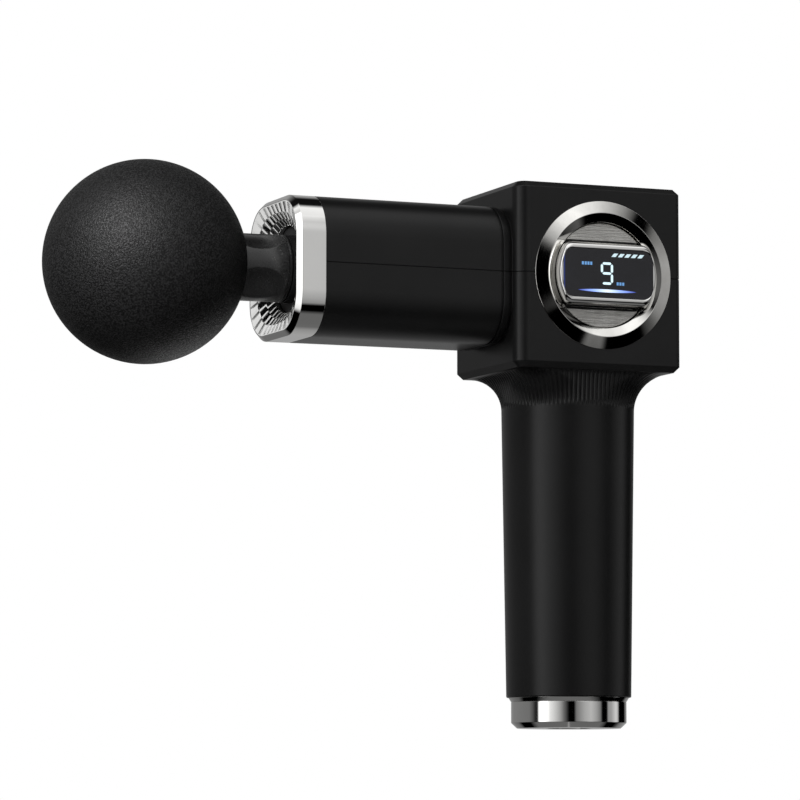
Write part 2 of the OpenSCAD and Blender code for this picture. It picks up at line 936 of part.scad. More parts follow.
// Holder behind the front wall for the dial's board
module dial_holder() {
    shelf_y = board_y + board_t;
    color([0.15, 0.15, 0.16]) {
        difference() {
            union() {
                rod_y(dial_x, axis_z, -inner_y, shelf_y + 1, holder_r);
                plate_dial(ear_y, ear_y + ear_t)
                    round_rect(2 * dial_hole[0] + 5.6, 2 * dial_hole[1] + 5.6, 2.6);
            }
            rod_y(dial_x, axis_z, -inner_y - 1, shelf_y, holder_in_r);
            rod_y(dial_x, axis_z, shelf_y - 1, shelf_y + 2, 17);
            for (sx = [-1, 1])
                for (sz = [-1, 1])
                    rod_y(dial_x + sx * dial_hole[0], axis_z + sz * dial_hole[1],
                          ear_y - 1, ear_y + ear_t + 1, screw_clear_r);
        }
    }
}

module dial_screws() {
    color([0.55, 0.55, 0.57])
        for (sx = [-1, 1])
            for (sz = [-1, 1])
                translate([dial_x + sx * dial_hole[0], ear_y + ear_t, axis_z + sz * dial_hole[1]])
                    rotate([90, 0, 0])
                        screw(6.4);
}

// Round board with the switches, the springs' feet and the jog sensor
module dial_board() {
    color([0.05, 0.25, 0.15]) {
        rod_y(dial_x, axis_z, board_y, board_y + board_t, holder_in_r - 0.2);
        rod_y(dial_x, axis_z, board_y + board_t - eps, board_y + board_t + 1.4, 5);
    }
}

// Three switches that the carrier's posts press
module press_switches() {
    color([0.3, 0.3, 0.3])
        for (a = [90 : 120 : 330])
            translate([dial_x, 0, axis_z])
                rotate([0, a, 0]) {
                    translate([switch_ring_r - 2.5, board_y - 3, -2.5])
                        cube([5, 3, 5]);
                    rod_y(switch_ring_r, 0, board_y - 3.9, board_y - 3 + eps, 1.3);
                }
}

// Three springs that push the carrier out
module press_springs() {
    color([0.65, 0.65, 0.67])
        for (a = [30 : 120 : 270])
            translate([dial_x, 0, axis_z])
                rotate([0, a, 0])
                    translate([switch_ring_r, board_y, 0])
                        rotate([90, 0, 0])
                            coil(1.9, 0.3, board_y - carrier_y1 - press_travel - 0.1, 4);
}

// Plate that carries the knob's spindle and slides in and out
module knob_carrier() {
    color([0.2, 0.2, 0.21])
        difference() {
            union() {
                rod_y(dial_x, axis_z, carrier_y0, carrier_y1, disc_r);
                rod_y(dial_x, axis_z, carrier_y1 - eps, carrier_hub_y, 7.5);
                for (a = [90 : 120 : 330])
                    translate([dial_x, 0, axis_z])
                        rotate([0, a, 0])
                            rod_y(switch_ring_r, 0, carrier_y1 - eps, board_y - 4.8, 1.5);
            }
            rod_y(dial_x, axis_z, carrier_y0 - 1, carrier_hub_y + 1, spindle_r + running_gap);
        }
}

// Spring that turns the knob back to level
module centring_spring() {
    color([0.65, 0.65, 0.67])
        translate([dial_x, carrier_y1 + 0.3, axis_z])
            rotate([-90, 0, 0])
                coil(8.4, 0.35, 3.4, 3);
}

// Brushed disc that turns with the display pod
module dial_disc() {
    color([0.55, 0.55, 0.56])
        difference() {
            rod_y(dial_x, axis_z, floor_y, disc_back, disc_r);
            rod_y(dial_x, axis_z, floor_y - 1, disc_back + 1, spindle_r);
        }
}

// Outline of the display pod: a bar with ends on the disc's circle and rounded corners
module pod_outline(h, corner) {
    offset(r = corner, $fn = 48)
        intersection() {
            circle(disc_r - corner);
            square([2 * disc_r, h - 2 * corner], center = true);
        }
}

// Bright pod across the disc that holds the display, gripped to turn the knob
module display_pod() {
    pocket = 4.1;
    color([0.8, 0.8, 0.8])
        difference() {
            hull() {
                plate_dial(floor_y - 0.5, floor_y)
                    pod_outline(pod_foot_h, 3);
                plate_dial(pod_y, pod_y + 0.1)
                    pod_outline(pod_front_h, 3.4);
            }
            plate_dial(pod_y - 1, pod_y + pocket)
                round_rect(glass_w + 0.1, glass_h + 0.1, glass_corner);
            rod_y(dial_x, axis_z, pod_y, floor_y + 1, 2);
        }
}

// Black window of the display
module display_glass() {
    color([0.02, 0.02, 0.03])
        plate_dial(pod_y + 0.1, pod_y + 1.1)
            round_rect(glass_w, glass_h, glass_corner);
}

// Display with its small board
module display_module() {
    color([0.1, 0.25, 0.3]) {
        plate_dial(pod_y + 1.2, pod_y + 2.6)
            square([27, 12], center = true);
        plate_dial(pod_y + 2.6, pod_y + 3.6)
            square([29, 13.4], center = true);
    }
}

// Hollow spindle with the flange that the disc and pod are fixed to
module knob_spindle() {
    color([0.7, 0.7, 0.72])
        difference() {
            union() {
                rod_y(dial_x, axis_z, floor_y, spindle_end, spindle_r);
                rod_y(dial_x, axis_z, disc_back, disc_back + 0.7, 8);
            }
            rod_y(dial_x, axis_z, floor_y - 1, spindle_end + 1, 2);
            difference() {
                rod_y(dial_x, axis_z, clip_y, clip_y + clip_t, spindle_r + 1);
                rod_y(dial_x, axis_z, clip_y - 1, clip_y + clip_t + 1, spindle_r - 0.5);
            }
        }
}

module spindle_clip() {
    color([0.3, 0.3, 0.32])
        difference() {
            rod_y(dial_x, axis_z, clip_y, clip_y + clip_t, spindle_r + 1.7);
            rod_y(dial_x, axis_z, clip_y - 1, clip_y + clip_t + 1, spindle_r - 0.5);
        }
}

// Cable from the display through the spindle, with its end just short of the board
module display_cable() {
    color([0.6, 0.5, 0.2])
        rod_y(dial_x, axis_z, pod_y + 3.6, spindle_end + 0.3, 1.4);
}

// ---------------------------------------------------------------- electronics

// Control board under the top wall, with its chips and capacitor
module main_board() {
    color([0.05, 0.25, 0.15])
        difference() {
            union() {
                translate([-main_size[0] / 2, -main_size[1] / 2, main_z])
                    cube([main_size[0], main_size[1], pcb_t]);
                translate([-6, -5, main_z + pcb_t - eps])
                    cube([9, 9, 1]);
                for (i = [0 : 5])
                    translate([8, -13 + 4.4 * i, main_z - 1.2])
                        cube([4.5, 3.4, 1.2 + eps]);
                translate([-12, -7, main_z - 4 + eps])
                    cylinder(h = 4, r = 3.2);
            }
            for (sx = [-1, 1])
                for (sy = [-1, 1])
                    rod_z(sx * main_hole[0], sy * main_hole[1], main_z - 1, main_z + 3,
                          screw_clear_r);
        }
}

module board_screws() {
    color([0.55, 0.55, 0.57])
        for (sx = [-1, 1])
            for (sy = [-1, 1])
                translate([sx * main_hole[0], sy * main_hole[1], main_z])
                    screw(4.4);
}

// Two lithium cells side by side
module battery_cells() {
    color([0.1, 0.3, 0.5])
        for (sx = [-1, 1]) {
            rod_z(sx * cell_x, 0, cell_z, cell_z + cell_len - 0.6, cell_r);
            rod_z(sx * cell_x, 0, cell_z + cell_len - 0.6 - eps, cell_z + cell_len, 4);
        }
}

// Spacers that hold the cells at each end
module cell_holders() {
    color([0.15, 0.15, 0.16])
        for (z = [cell_z + 1, cell_z + cell_len - holder_len - 1])
            translate([0, 0, z])
                linear_extrude(height = holder_len)
                    difference() {
                        intersection() {
                            circle(18.4);
                            square([24, 40], center = true);
                        }
                        for (sx = [-1, 1])
                            translate([sx * cell_x, 0])
                                circle(cell_r + 0.02);
                    }
}

// Welded strips that join the cells
module nickel_strips() {
    color([0.75, 0.75, 0.72])
        for (z = [cell_z - 0.3, cell_z + cell_len])
            translate([-13, -4, z])
                cube([26, 8, 0.3]);
}

// Battery protection board above the cells
module bms_board() {
    color([0.05, 0.25, 0.15]) {
        translate([-14, -8, 96])
            cube([28, 16, pcb_t]);
        for (i = [-1 : 1])
            translate([7 * i - 2.5, -3, 96 + pcb_t - eps])
                cube([5, 4.4, 1.2]);
    }
}

// Upright board in the cap behind the charging inlet
module charge_board() {
    color([0.05, 0.25, 0.15])
        translate([-8, 1.7, 3.2])
            cube([16, 1.2, 14]);
}

// Charging inlet: a flat steel shell with a tongue
module charge_socket() {
    color([0.7, 0.7, 0.72]) {
        difference() {
            translate([0, 0, 1])
                linear_extrude(height = 7.4)
                    inlet_slot(8.94, 3.26);
            translate([0, 0, 0])
                linear_extrude(height = 7.4)
                    inlet_slot(8.34, 2.66);
        }
        translate([-3.3, -0.35, 2])
            cube([6.6, 0.7, 5.8]);
    }
}

// Leads from the battery board up to the main board
module battery_leads() {
    color([0.6, 0.1, 0.1])
        lead([[-9, 4, 97.7], [-9, 5, 103], [-10.5, 7.5, 110], [-11, 8.5, 117], [-12.5, 9.5, 121],
              [-18, 11.5, 125], [-23.4, 12, 131], [-23.8, 12, 140], [-23.8, 12, 155],
              [-22.4, 11.2, 164], [-20, 10.6, 168], [-19.2, 10.2, 171.3]]);
}

// Leads from the stator down past the frame to the battery board
module motor_leads() {
    color([0.1, 0.1, 0.5])
        lead([[1, 8.9, 132], [1, 7, 132], [1, 4.2, 130], [1, 2.4, 125], [2, 2, 117],
              [5, 3, 108], [8, 5, 101], [8, 5.5, 97.7]]);
}

ball_head();
head_neck();
head_o_rings();
plunger();
yoke();
yoke_pin();
guide_tube();
front_bush();
rear_bush();
front_guide_plate();
rear_guide_plate();
dust_seal();
front_bezel();
facet_reflector();
upper_housing();
lower_housing();
handle_shell();
base_ring();
base_cap();
housing_screws();
handle_screws();
drive_frame();
frame_screws();
motor_bearings();
motor_stator();
motor_windings();
motor_bell();
motor_magnets();
motor_shaft();
crank_disc();
crank_pin();
crank_roller();
crank_clip();
dial_bezel();
dial_holder();
dial_screws();
dial_board();
press_switches();
press_springs();
knob_carrier();
centring_spring();
dial_disc();
display_pod();
display_glass();
display_module();
knob_spindle();
spindle_clip();
display_cable();
main_board();
board_screws();
battery_cells();
cell_holders();
nickel_strips();
bms_board();
charge_board();
charge_socket();
battery_leads();
motor_leads();
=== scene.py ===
"""Looks of the massage gun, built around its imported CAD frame.

Sizes are in millimetres until a mesh is made. Lights, camera and floor are in metres.
"""

import json
import math

import bmesh
import bpy
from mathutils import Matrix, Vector


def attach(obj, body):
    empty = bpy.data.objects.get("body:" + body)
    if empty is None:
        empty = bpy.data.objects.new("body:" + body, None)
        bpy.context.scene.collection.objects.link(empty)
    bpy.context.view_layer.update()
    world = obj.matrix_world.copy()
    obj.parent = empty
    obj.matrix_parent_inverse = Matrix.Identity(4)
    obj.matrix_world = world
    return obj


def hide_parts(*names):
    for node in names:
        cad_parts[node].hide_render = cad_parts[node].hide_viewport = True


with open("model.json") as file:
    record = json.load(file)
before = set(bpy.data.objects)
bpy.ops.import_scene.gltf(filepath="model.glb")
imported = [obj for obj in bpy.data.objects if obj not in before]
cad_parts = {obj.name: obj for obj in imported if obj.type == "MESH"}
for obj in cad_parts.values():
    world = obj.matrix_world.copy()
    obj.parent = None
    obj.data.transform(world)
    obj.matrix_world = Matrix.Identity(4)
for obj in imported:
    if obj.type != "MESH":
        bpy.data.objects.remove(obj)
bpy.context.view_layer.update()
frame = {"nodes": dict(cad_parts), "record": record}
scene = bpy.context.scene

MM = 0.001
AXIS_Z = 147.5
BODY_W, BODY_D, BODY_Z, BODY_H = 59.0, 51.0, 116.5, 61.0
BARREL_S, BARREL_R, BARREL_END = 45.6, 13.8, -95.1
BEZEL_FRONT = -104.8
WALL, HANDLE_WALL = 2.4, 1.9
DIAL_HOLE_R, FLOOR_HOLE_R = 20.7, 17.4
POST_X, POST_Y, POST_R, SCREW_R, SINK_R, SINK_DEPTH = 24.4, 20.3, 2.4, 1.2, 2.1, 1.6
GROOVE_X, GROOVE_W, GROOVE_DEPTH = -33.9, 0.8, 0.7
VALLEY = 1.1
EDGE_R, FRONT_EDGE_R, SLOPE = 1.8, 4.6, 2
SEAM, SEAM_DEPTH = 0.16, 0.22
HANDLE_LOW_R, HANDLE_TOP_R, HANDLE_LOW_Z, FLARE_Z = 20.6, 22.0, 10.1, 104.7
PLEATS, PLEAT_DEPTH = 96, 0.45
BALL_X, BALL_R = -148.5, 32.78
NECK_R, SOCKET_FRONT, STEM_R, STEM_LEN = 10.95, -101.5, 7.0, 26.0
DIAL_X, DIAL_R, DIAL_EDGE_Y, LIP_R, LIP_Y = 1.2, 24.4, -25.6, 20.4, -27.25
RECESS_Y, FLOOR_Y, DISC_R, POD_Y = -25.65, -24.6, 17.2, -29.75
CAP_R, CAP_H = 19.0, 8.6


# ---------------------------------------------------------------- mesh helpers

def soften(outline, radius, steps=3):
    """A closed outline with each corner turned into a small arc.

    radius is one number, or one for each corner.
    """
    out = []
    count = len(outline)
    for i, point in enumerate(outline):
        r = radius[i] if isinstance(radius, (list, tuple)) else radius
        p = Vector(point)
        a, b = Vector(outline[i - 1]) - p, Vector(outline[(i + 1) % count]) - p
        turn = a.angle(b)
        if r <= 0 or turn > math.radians(176):
            out.append(tuple(p))
            continue
        cut = min(r / math.tan(turn / 2), 0.45 * a.length, 0.45 * b.length)
        r = cut * math.tan(turn / 2)
        centre = p + (a.normalized() + b.normalized()).normalized() * r / math.sin(turn / 2)
        s, e = p + a.normalized() * cut - centre, p + b.normalized() * cut - centre
        sweep = s.angle(e)
        for k in range(steps + 1):
            t = k / steps
            w = (math.sin((1 - t) * sweep) * s + math.sin(t * sweep) * e) / math.sin(sweep)
            out.append(tuple(centre + w))
    return out


def make_mesh(name, points, faces):
    """A cleaned mesh from points in millimetres, with its normals outwards."""
    mesh = bpy.data.meshes.new(name)
    mesh.from_pydata([(x * MM, y * MM, z * MM) for x, y, z in points], [], faces)
    bm = bmesh.new()
    bm.from_mesh(mesh)
    bmesh.ops.remove_doubles(bm, verts=bm.verts, dist=1e-7)
    bmesh.ops.dissolve_degenerate(bm, edges=bm.edges, dist=1e-8)
    bmesh.ops.recalc_face_normals(bm, faces=bm.faces)
    bm.to_mesh(mesh)
    bm.free()
    return mesh


def loft(name, rings, closed=False):
    """Rings of equal length joined by quads. The ends are capped, or joined to each other if closed."""
    n, m = len(rings), len(rings[0])
    points = [p for ring in rings for p in ring]
    faces = [(i % n * m + j, i % n * m + (j + 1) % m, (i + 1) % n * m + (j + 1) % m, (i + 1) % n * m + j)
             for i in range(n if closed else n - 1) for j in range(m)]
    if not closed:
        faces += [tuple(range(m)), tuple((n - 1) * m + j for j in range(m))]
    return make_mesh(name, points, faces)


def turned(name, profile, axis, centre, count=192):
    """A closed profile of (along, radius) points turned about an axis through centre."""
    rings = []
    for i in range(count):
        c, s = math.cos(2 * math.pi * i / count), math.sin(2 * math.pi * i / count)
        ring = []
        for along, r in profile:
            if axis == "x":
                ring.append((along, centre[0] + r * c, centre[1] + r * s))
            elif axis == "y":
                ring.append((centre[0] + r * c, along, centre[1] + r * s))
            else:
                ring.append((centre[0] + r * c, centre[1] + r * s, along))
        rings.append(ring)
    return loft(name, rings, closed=True)


def place(name, mesh):
    piece = bpy.data.objects.new(name, mesh)
    scene.collection.objects.link(piece)
    return piece


def cut(piece, *tools, operation="DIFFERENCE"):
    """Applies exact booleans to a piece and removes the tools."""
    for tool in tools:
        step = piece.modifiers.new("cut", "BOOLEAN")
        step.operation, step.solver, step.object = operation, "EXACT", tool
        made = bpy.data.meshes.new_from_object(piece.evaluated_get(bpy.context.evaluated_depsgraph_get()))
        piece.modifiers.clear()
        piece.data = made
        bpy.data.objects.remove(tool)
    return piece


def finish_piece(piece, body, slot, material, *nodes, sharp=32):
    """Smooth shading with crisp edges, the material, and the body that the piece rides on."""
    for face in piece.data.polygons:
        face.use_smooth = True
    piece.data.set_sharp_from_angle(angle=math.radians(sharp))
    piece.modifiers.new("flat faces stay flat", "WEIGHTED_NORMAL").keep_sharp = True
    piece.data.materials.clear()
    piece.data.materials.append(material)
    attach(piece, body)
    if nodes:
        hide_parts(*nodes)
    return piece


def block(name, low, high):
    x0, y0, z0 = low
    x1, y1, z1 = high
    return place(name, loft(name, [[(x, y0, z0), (x, y1, z0), (x, y1, z1), (x, y0, z1)] for x in (x0, x1)]))


def rod(name, axis, centre, a, b, r, count=32):
    return place(name, turned(name, [(a, 0), (a, r), (b, r), (b, 0)], axis, centre, count))


# ---------------------------------------------------------------- outlines

def corner_arc(cx, cy, r, start, count):
    return [(cx + r * math.cos(math.radians(start + 90 * k / count)),
             cy + r * math.sin(math.radians(start + 90 * k / count))) for k in range(count + 1)]


def barrel_ring(x, grow=0.0, seam=SEAM_DEPTH, count=14):
    """The barrel's rounded square at x, with the parting line's notch on both sides."""
    h, r = BARREL_S / 2 + grow, BARREL_R + grow
    quarter = [(h - seam, 0.04), (h, SEAM), (h, 3.0), (h, 6.0)]
    quarter += corner_arc(h - r, h - r, r, 0, count)
    quarter += [(6.0, h), (3.0, h)]
    top = quarter + [(0, h)] + [(-a, b) for a, b in reversed(quarter)]
    ring = top + [(a, -b) for a, b in reversed(top)]
    return [(x, a, AXIS_Z + b) for a, b in ring]


def square_ring(x, side, r, count=16):
    """A plain rounded square at x."""
    h = side / 2
    quarter = [(h, 4.0)] + corner_arc(h - r, h - r, r, 0, count) + [(4.0, h)]
    top = quarter + [(0, h)] + [(-a, b) for a, b in reversed(quarter)]
    ring = top + [(-h, 0)] + [(a, -b) for a, b in reversed(top)] + [(h, 0)]
    return [(x, a, AXIS_Z + b) for a, b in ring]


def body_ring(inset, z, count=8):
    """The cube's rounded rectangle at z. Its edge between barrel and dial is the roundest."""
    a, b = BODY_W / 2 - inset, BODY_D / 2 - inset
    r, front = max(EDGE_R - inset, 0.3), FRONT_EDGE_R - inset
    ring = corner_arc(a - r, b - r, r, 0, count) + corner_arc(-a + r, b - r, r, 90, count)
    ring += corner_arc(-a + front, -b + front, front, 180, count) + corner_arc(a - r, -b + r, r, 270, count)
    return [(x, y, z) for x, y in ring]


def flare_radius(angle, t):
    """The flare's radius in one direction.

    It goes from the round handle, at t 0, to the cube's rounded rectangle inside its slope, at t 1.
    """
    a = HANDLE_TOP_R + t * (BODY_W / 2 - SLOPE - HANDLE_TOP_R)
    b = HANDLE_TOP_R + t * (BODY_D / 2 - SLOPE - HANDLE_TOP_R)
    r = HANDLE_TOP_R - 0.01 + t * (FRONT_EDGE_R - SLOPE - HANDLE_TOP_R)
    c, s = abs(math.cos(angle)), abs(math.sin(angle))
    if c * (b - r) > a * s:
        return a / c
    if s * (a - r) > b * c:
        return b / s
    along = (a - r) * c + (b - r) * s
    return along + math.sqrt(max(0.0, along ** 2 - (a - r) ** 2 - (b - r) ** 2 + r * r))


# ---------------------------------------------------------------- materials

def node_material(name):
    material = bpy.data.materials.new(name)
    material.use_nodes = True
    tree = material.node_tree
    return material, tree, tree.nodes["Principled BSDF"]


def noise(tree, scale, detail=3.0, rough=0.55, stretch=(1, 1, 1)):
    """Noise over the piece's own coordinates; scale is in cycles per metre."""
    place_at = tree.nodes.new("ShaderNodeTexCoord")
    mapping = tree.nodes.new("ShaderNodeMapping")
    mapping.inputs["Scale"].default_value = stretch
    texture = tree.nodes.new("ShaderNodeTexNoise")
    texture.inputs["Scale"].default_value = scale
    texture.inputs["Detail"].default_value = detail
    texture.inputs["Roughness"].default_value = rough
    tree.links.new(place_at.outputs["Object"], mapping.inputs["Vector"])
    tree.links.new(mapping.outputs["Vector"], texture.inputs["Vector"])
    return texture.outputs["Fac"]


def spread(tree, value, low, high, start=0.3, end=0.7):
    """value stretched from start..end to low..high."""
    node = tree.nodes.new("ShaderNodeMapRange")
    node.inputs["From Min"].default_value = start
    node.inputs["From Max"].default_value = end
    node.inputs["To Min"].default_value = low
    node.inputs["To Max"].default_value = high
    tree.links.new(value, node.inputs["Value"])
    return node.outputs["Result"]


def tint(tree, value, low, high):
    """A colour between low and high, by value."""
    node = tree.nodes.new("ShaderNodeValToRGB")
    node.color_ramp.elements[0].position = 0.3
    node.color_ramp.elements[1].position = 0.7
    node.color_ramp.elements[0].color = (*low, 1)
    node.color_ramp.elements[1].color = (*high, 1)
    tree.links.new(value, node.inputs["Fac"])
    return node.outputs["Color"]


def bump(tree, shader, height, distance, strength=1.0, under=None):
    node = tree.nodes.new("ShaderNodeBump")
    node.inputs["Strength"].default_value = strength
    node.inputs["Distance"].default_value = distance
    tree.links.new(height, node.inputs["Height"])
    if under is not None:
        tree.links.new(under, node.inputs["Normal"])
    tree.links.new(node.outputs["Normal"], shader.inputs["Normal"])
    return node.outputs["Normal"]


def surface(name, low, high, rough, metal=0.0, grain=900.0, grain_height=0.00002, patch=60.0,
            stretch=(1, 1, 1), specular=0.5):
    """A material whose colour and roughness drift slowly over it, with a fine grain on top."""
    material, tree, shader = node_material(name)
    slow = noise(tree, patch)
    fine = noise(tree, grain, detail=4.0, stretch=stretch)
    tree.links.new(tint(tree, slow, low, high), shader.inputs["Base Color"])
    tree.links.new(spread(tree, fine, rough[0], rough[1]), shader.inputs["Roughness"])
    shader.inputs["Metallic"].default_value = metal
    shader.inputs["Specular IOR Level"].default_value = specular
    bump(tree, shader, fine, grain_height)
    return material


def math_node(tree, operation, *values):
    """A maths node. Each value is a number or another node's output."""
    node = tree.nodes.new("ShaderNodeMath")
    node.operation = operation
    for i, value in enumerate(values):
        if isinstance(value, (int, float)):
            node.inputs[i].default_value = value
        else:
            tree.links.new(value, node.inputs[i])
    return node.outputs["Value"]


def grey(value):
    return (value, value, value * 1.02)


def pebbled(name, low, high, rough, grain, height):
    """Foam skin: a fine grain, paler and smoother on its high spots."""
    material, tree, shader = node_material(name)
    coarse = noise(tree, grain, detail=1.0)
    fine = noise(tree, grain * 2.3, detail=1.0)
    start, end = 0.42, 0.62
    specks = tint(tree, spread(tree, coarse, 0.3, 0.7, start, end), low, high)
    tree.links.new(specks, shader.inputs["Base Color"])
    tree.links.new(spread(tree, coarse, rough[1], rough[0], start, end), shader.inputs["Roughness"])
    soft = bump(tree, shader, fine, height * 0.4)
    bump(tree, shader, coarse, height, under=soft)
    shader.inputs["Specular IOR Level"].default_value = 0.1
    return material


def spun(name, low, high, rough, centre):
    """Metal turned on a lathe: fine rings about an axis along Y through centre (x, z in millimetres)."""
    material, tree, shader = node_material(name)
    spot = tree.nodes.new("ShaderNodeTexCoord")
    about = tree.nodes.new("ShaderNodeVectorMath")
    about.operation = "SUBTRACT"
    about.inputs[1].default_value = (centre[0] * MM, 0, centre[1] * MM)
    flat = tree.nodes.new("ShaderNodeVectorMath")
    flat.operation = "MULTIPLY"
    flat.inputs[1].default_value = (1, 0, 1)
    radius = tree.nodes.new("ShaderNodeVectorMath")
    radius.operation = "LENGTH"
    rings = tree.nodes.new("ShaderNodeTexNoise")
    rings.noise_dimensions = "1D"
    rings.inputs["Scale"].default_value = 5200.0
    rings.inputs["Detail"].default_value = 3.0
    tree.links.new(spot.outputs["Object"], about.inputs[0])
    tree.links.new(about.outputs["Vector"], flat.inputs[0])
    tree.links.new(flat.outputs["Vector"], radius.inputs[0])
    tree.links.new(radius.outputs["Value"], rings.inputs["W"])
    tree.links.new(tint(tree, noise(tree, 200.0), low, high), shader.inputs["Base Color"])
    tree.links.new(spread(tree, rings.outputs["Fac"], rough[0], rough[1]), shader.inputs["Roughness"])
    shader.inputs["Metallic"].default_value = 1.0
    bump(tree, shader, rings.outputs["Fac"], 0.0000015)
    return material


BLACK_SHELL = surface("black_shell", grey(0.0025), grey(0.0035), (0.3, 0.36), grain=2200.0,
                      grain_height=0.000008, patch=40.0, specular=0.3)
BALL_FOAM = pebbled("ball_foam", grey(0.0006), grey(0.0064), (0.4, 0.58), 1900.0, 0.00022)
NECK_PLASTIC = surface("neck_plastic", grey(0.003), grey(0.0045), (0.26, 0.32), grain=1800.0,
                       grain_height=0.000006, specular=0.7)
BRIGHT_PLATE = surface("bright_plate", (0.86, 0.855, 0.84), (0.9, 0.895, 0.88), (0.035, 0.07), metal=1.0,
                       grain=500.0, grain_height=0.0000004)
CUT_PLATE = surface("cut_plate", (0.9, 0.9, 0.885), (0.95, 0.95, 0.94), (0.14, 0.22), metal=1.0, grain=700.0,
                    grain_height=0.000001)
SPUN_PLATE = spun("spun_plate", (0.78, 0.77, 0.74), (0.88, 0.87, 0.84), (0.03, 0.07), (DIAL_X, AXIS_Z))
BRUSHED_PLATE = surface("brushed_plate", (0.5, 0.49, 0.47), (0.72, 0.71, 0.68), (0.18, 0.42), metal=1.0,
                        grain=200.0, grain_height=0.00022, stretch=(0.35, 14, 14))
# Near-black, for the ring in the groove about the display pod: painted shade for the dark gap there.
GAP_SHADE_BLACK = surface("gap_painted_shade", grey(0.002), grey(0.004), (0.5, 0.65), grain=1500.0, specular=0.25)
DISPLAY_BLACK = surface("display_black", (0.003, 0.003, 0.004), (0.005, 0.005, 0.007), (0.04, 0.07),
                        grain=300.0, grain_height=0.0000005)

MATERIALS = {
    "black_shell": BLACK_SHELL,
    "ball_foam": BALL_FOAM,
    "neck_plastic": NECK_PLASTIC,
    "bright_plate": BRIGHT_PLATE,
    "brushed_plate": BRUSHED_PLATE,
    "display_black": DISPLAY_BLACK,
    "inner_plastic": surface("inner_plastic", grey(0.02), grey(0.035), (0.5, 0.6)),
    "rubber_black": surface("rubber_black", grey(0.012), grey(0.02), (0.6, 0.75), grain=1500.0),
    "black_alloy": surface("black_alloy", grey(0.012), grey(0.02), (0.3, 0.4), metal=0.6, grain=1500.0,
                           grain_height=0.000004),
    "machined_alloy": surface("machined_alloy", (0.55, 0.56, 0.58), (0.65, 0.66, 0.68), (0.25, 0.4),
                              metal=1.0, grain=700.0, grain_height=0.000004),
    "ground_steel": surface("ground_steel", (0.45, 0.45, 0.46), (0.55, 0.55, 0.56), (0.2, 0.34), metal=1.0,
                            grain=900.0, grain_height=0.000003),
    "screw_steel": surface("screw_steel", (0.18, 0.18, 0.19), (0.26, 0.26, 0.27), (0.3, 0.45), metal=1.0,
                           grain=1200.0, grain_height=0.000005),
    "bush_bronze": surface("bush_bronze", (0.45, 0.27, 0.1), (0.55, 0.35, 0.14), (0.3, 0.42), metal=1.0,
                           grain=1400.0, grain_height=0.000006),
    "lamination": surface("lamination", (0.08, 0.08, 0.085), (0.14, 0.14, 0.15), (0.4, 0.6), metal=1.0,
                          grain=900.0, stretch=(0.3, 6, 0.3)),
    "copper_wire": surface("copper_wire", (0.5, 0.18, 0.06), (0.62, 0.25, 0.1), (0.22, 0.38), metal=1.0,
                           grain=800.0, stretch=(0.3, 5, 0.3)),
    "magnet": surface("magnet", (0.28, 0.28, 0.3), (0.38, 0.38, 0.4), (0.25, 0.4), metal=1.0),
    "board_green": surface("board_green", (0.004, 0.055, 0.025), (0.01, 0.09, 0.045), (0.3, 0.45),
                           grain=600.0),
    "cell_wrap": surface("cell_wrap", (0.006, 0.05, 0.13), (0.01, 0.075, 0.18), (0.25, 0.35), grain=250.0),
    "nickel": surface("nickel", (0.5, 0.49, 0.44), (0.6, 0.59, 0.54), (0.2, 0.35), metal=1.0),
    "lead_sheath": surface("lead_sheath", (0.18, 0.006, 0.006), (0.25, 0.01, 0.01), (0.4, 0.5)),
}


def glowing(name, colour, strength):
    """A lit display mark, slightly uneven as a real one is."""
    material, tree, shader = node_material(name)
    shader.inputs["Base Color"].default_value = (0.01, 0.012, 0.016, 1)
    tree.links.new(tint(tree, noise(tree, 1500.0), [c * 0.85 for c in colour], colour),
                   shader.inputs["Emission Color"])
    shader.inputs["Emission Strength"].default_value = strength
    return material


# ---------------------------------------------------------------- ball and neck

BALL_STEPS, BALL_GAP = 120, 0.02
seat_x = BALL_X + 0.75 * BALL_R
tip_x = BALL_X + 0.3 * BALL_R
opening = math.degrees(math.asin((NECK_R + 0.35) / BALL_R))
ball_profile = []
for k in range(BALL_STEPS + 1):
    a = math.radians(k * (180 - opening) / BALL_STEPS)
    ball_profile.append((BALL_X - BALL_R * math.cos(a), BALL_R * math.sin(a)))
ball_profile += [(seat_x, NECK_R + BALL_GAP), (seat_x, STEM_R + BALL_GAP),
                 (tip_x - BALL_GAP, STEM_R + BALL_GAP), (tip_x - BALL_GAP, 0)]
ball = place("ball_skin", turned("ball_skin", ball_profile, "x", (0, AXIS_Z), 256))
finish_piece(ball, "head", "ball_foam", BALL_FOAM, "ball_head")


DIMPLE_ANGLES, DIMPLE_X = (-129, -39, 57, 146), -112.6
DIMPLE_HALF_LENGTH, DIMPLE_HALF_ANGLE, DIMPLE_DEPTH = 8.6, 31.0, 1.05


def dimple(x, angle):
    """Depth of the four thumb dimples around the neck."""
    off = min(abs((math.degrees(angle) - a + 180) % 360 - 180) for a in DIMPLE_ANGLES)
    rho = math.hypot((x - DIMPLE_X) / DIMPLE_HALF_LENGTH, off / DIMPLE_HALF_ANGLE)
    return DIMPLE_DEPTH * (1 - rho ** 2) ** 0.65 if rho < 1 else 0.0


RING_GROOVES, RING_GROOVE_HALF, RING_GROOVE_DEPTH = (5, 12), 0.75, 0.62


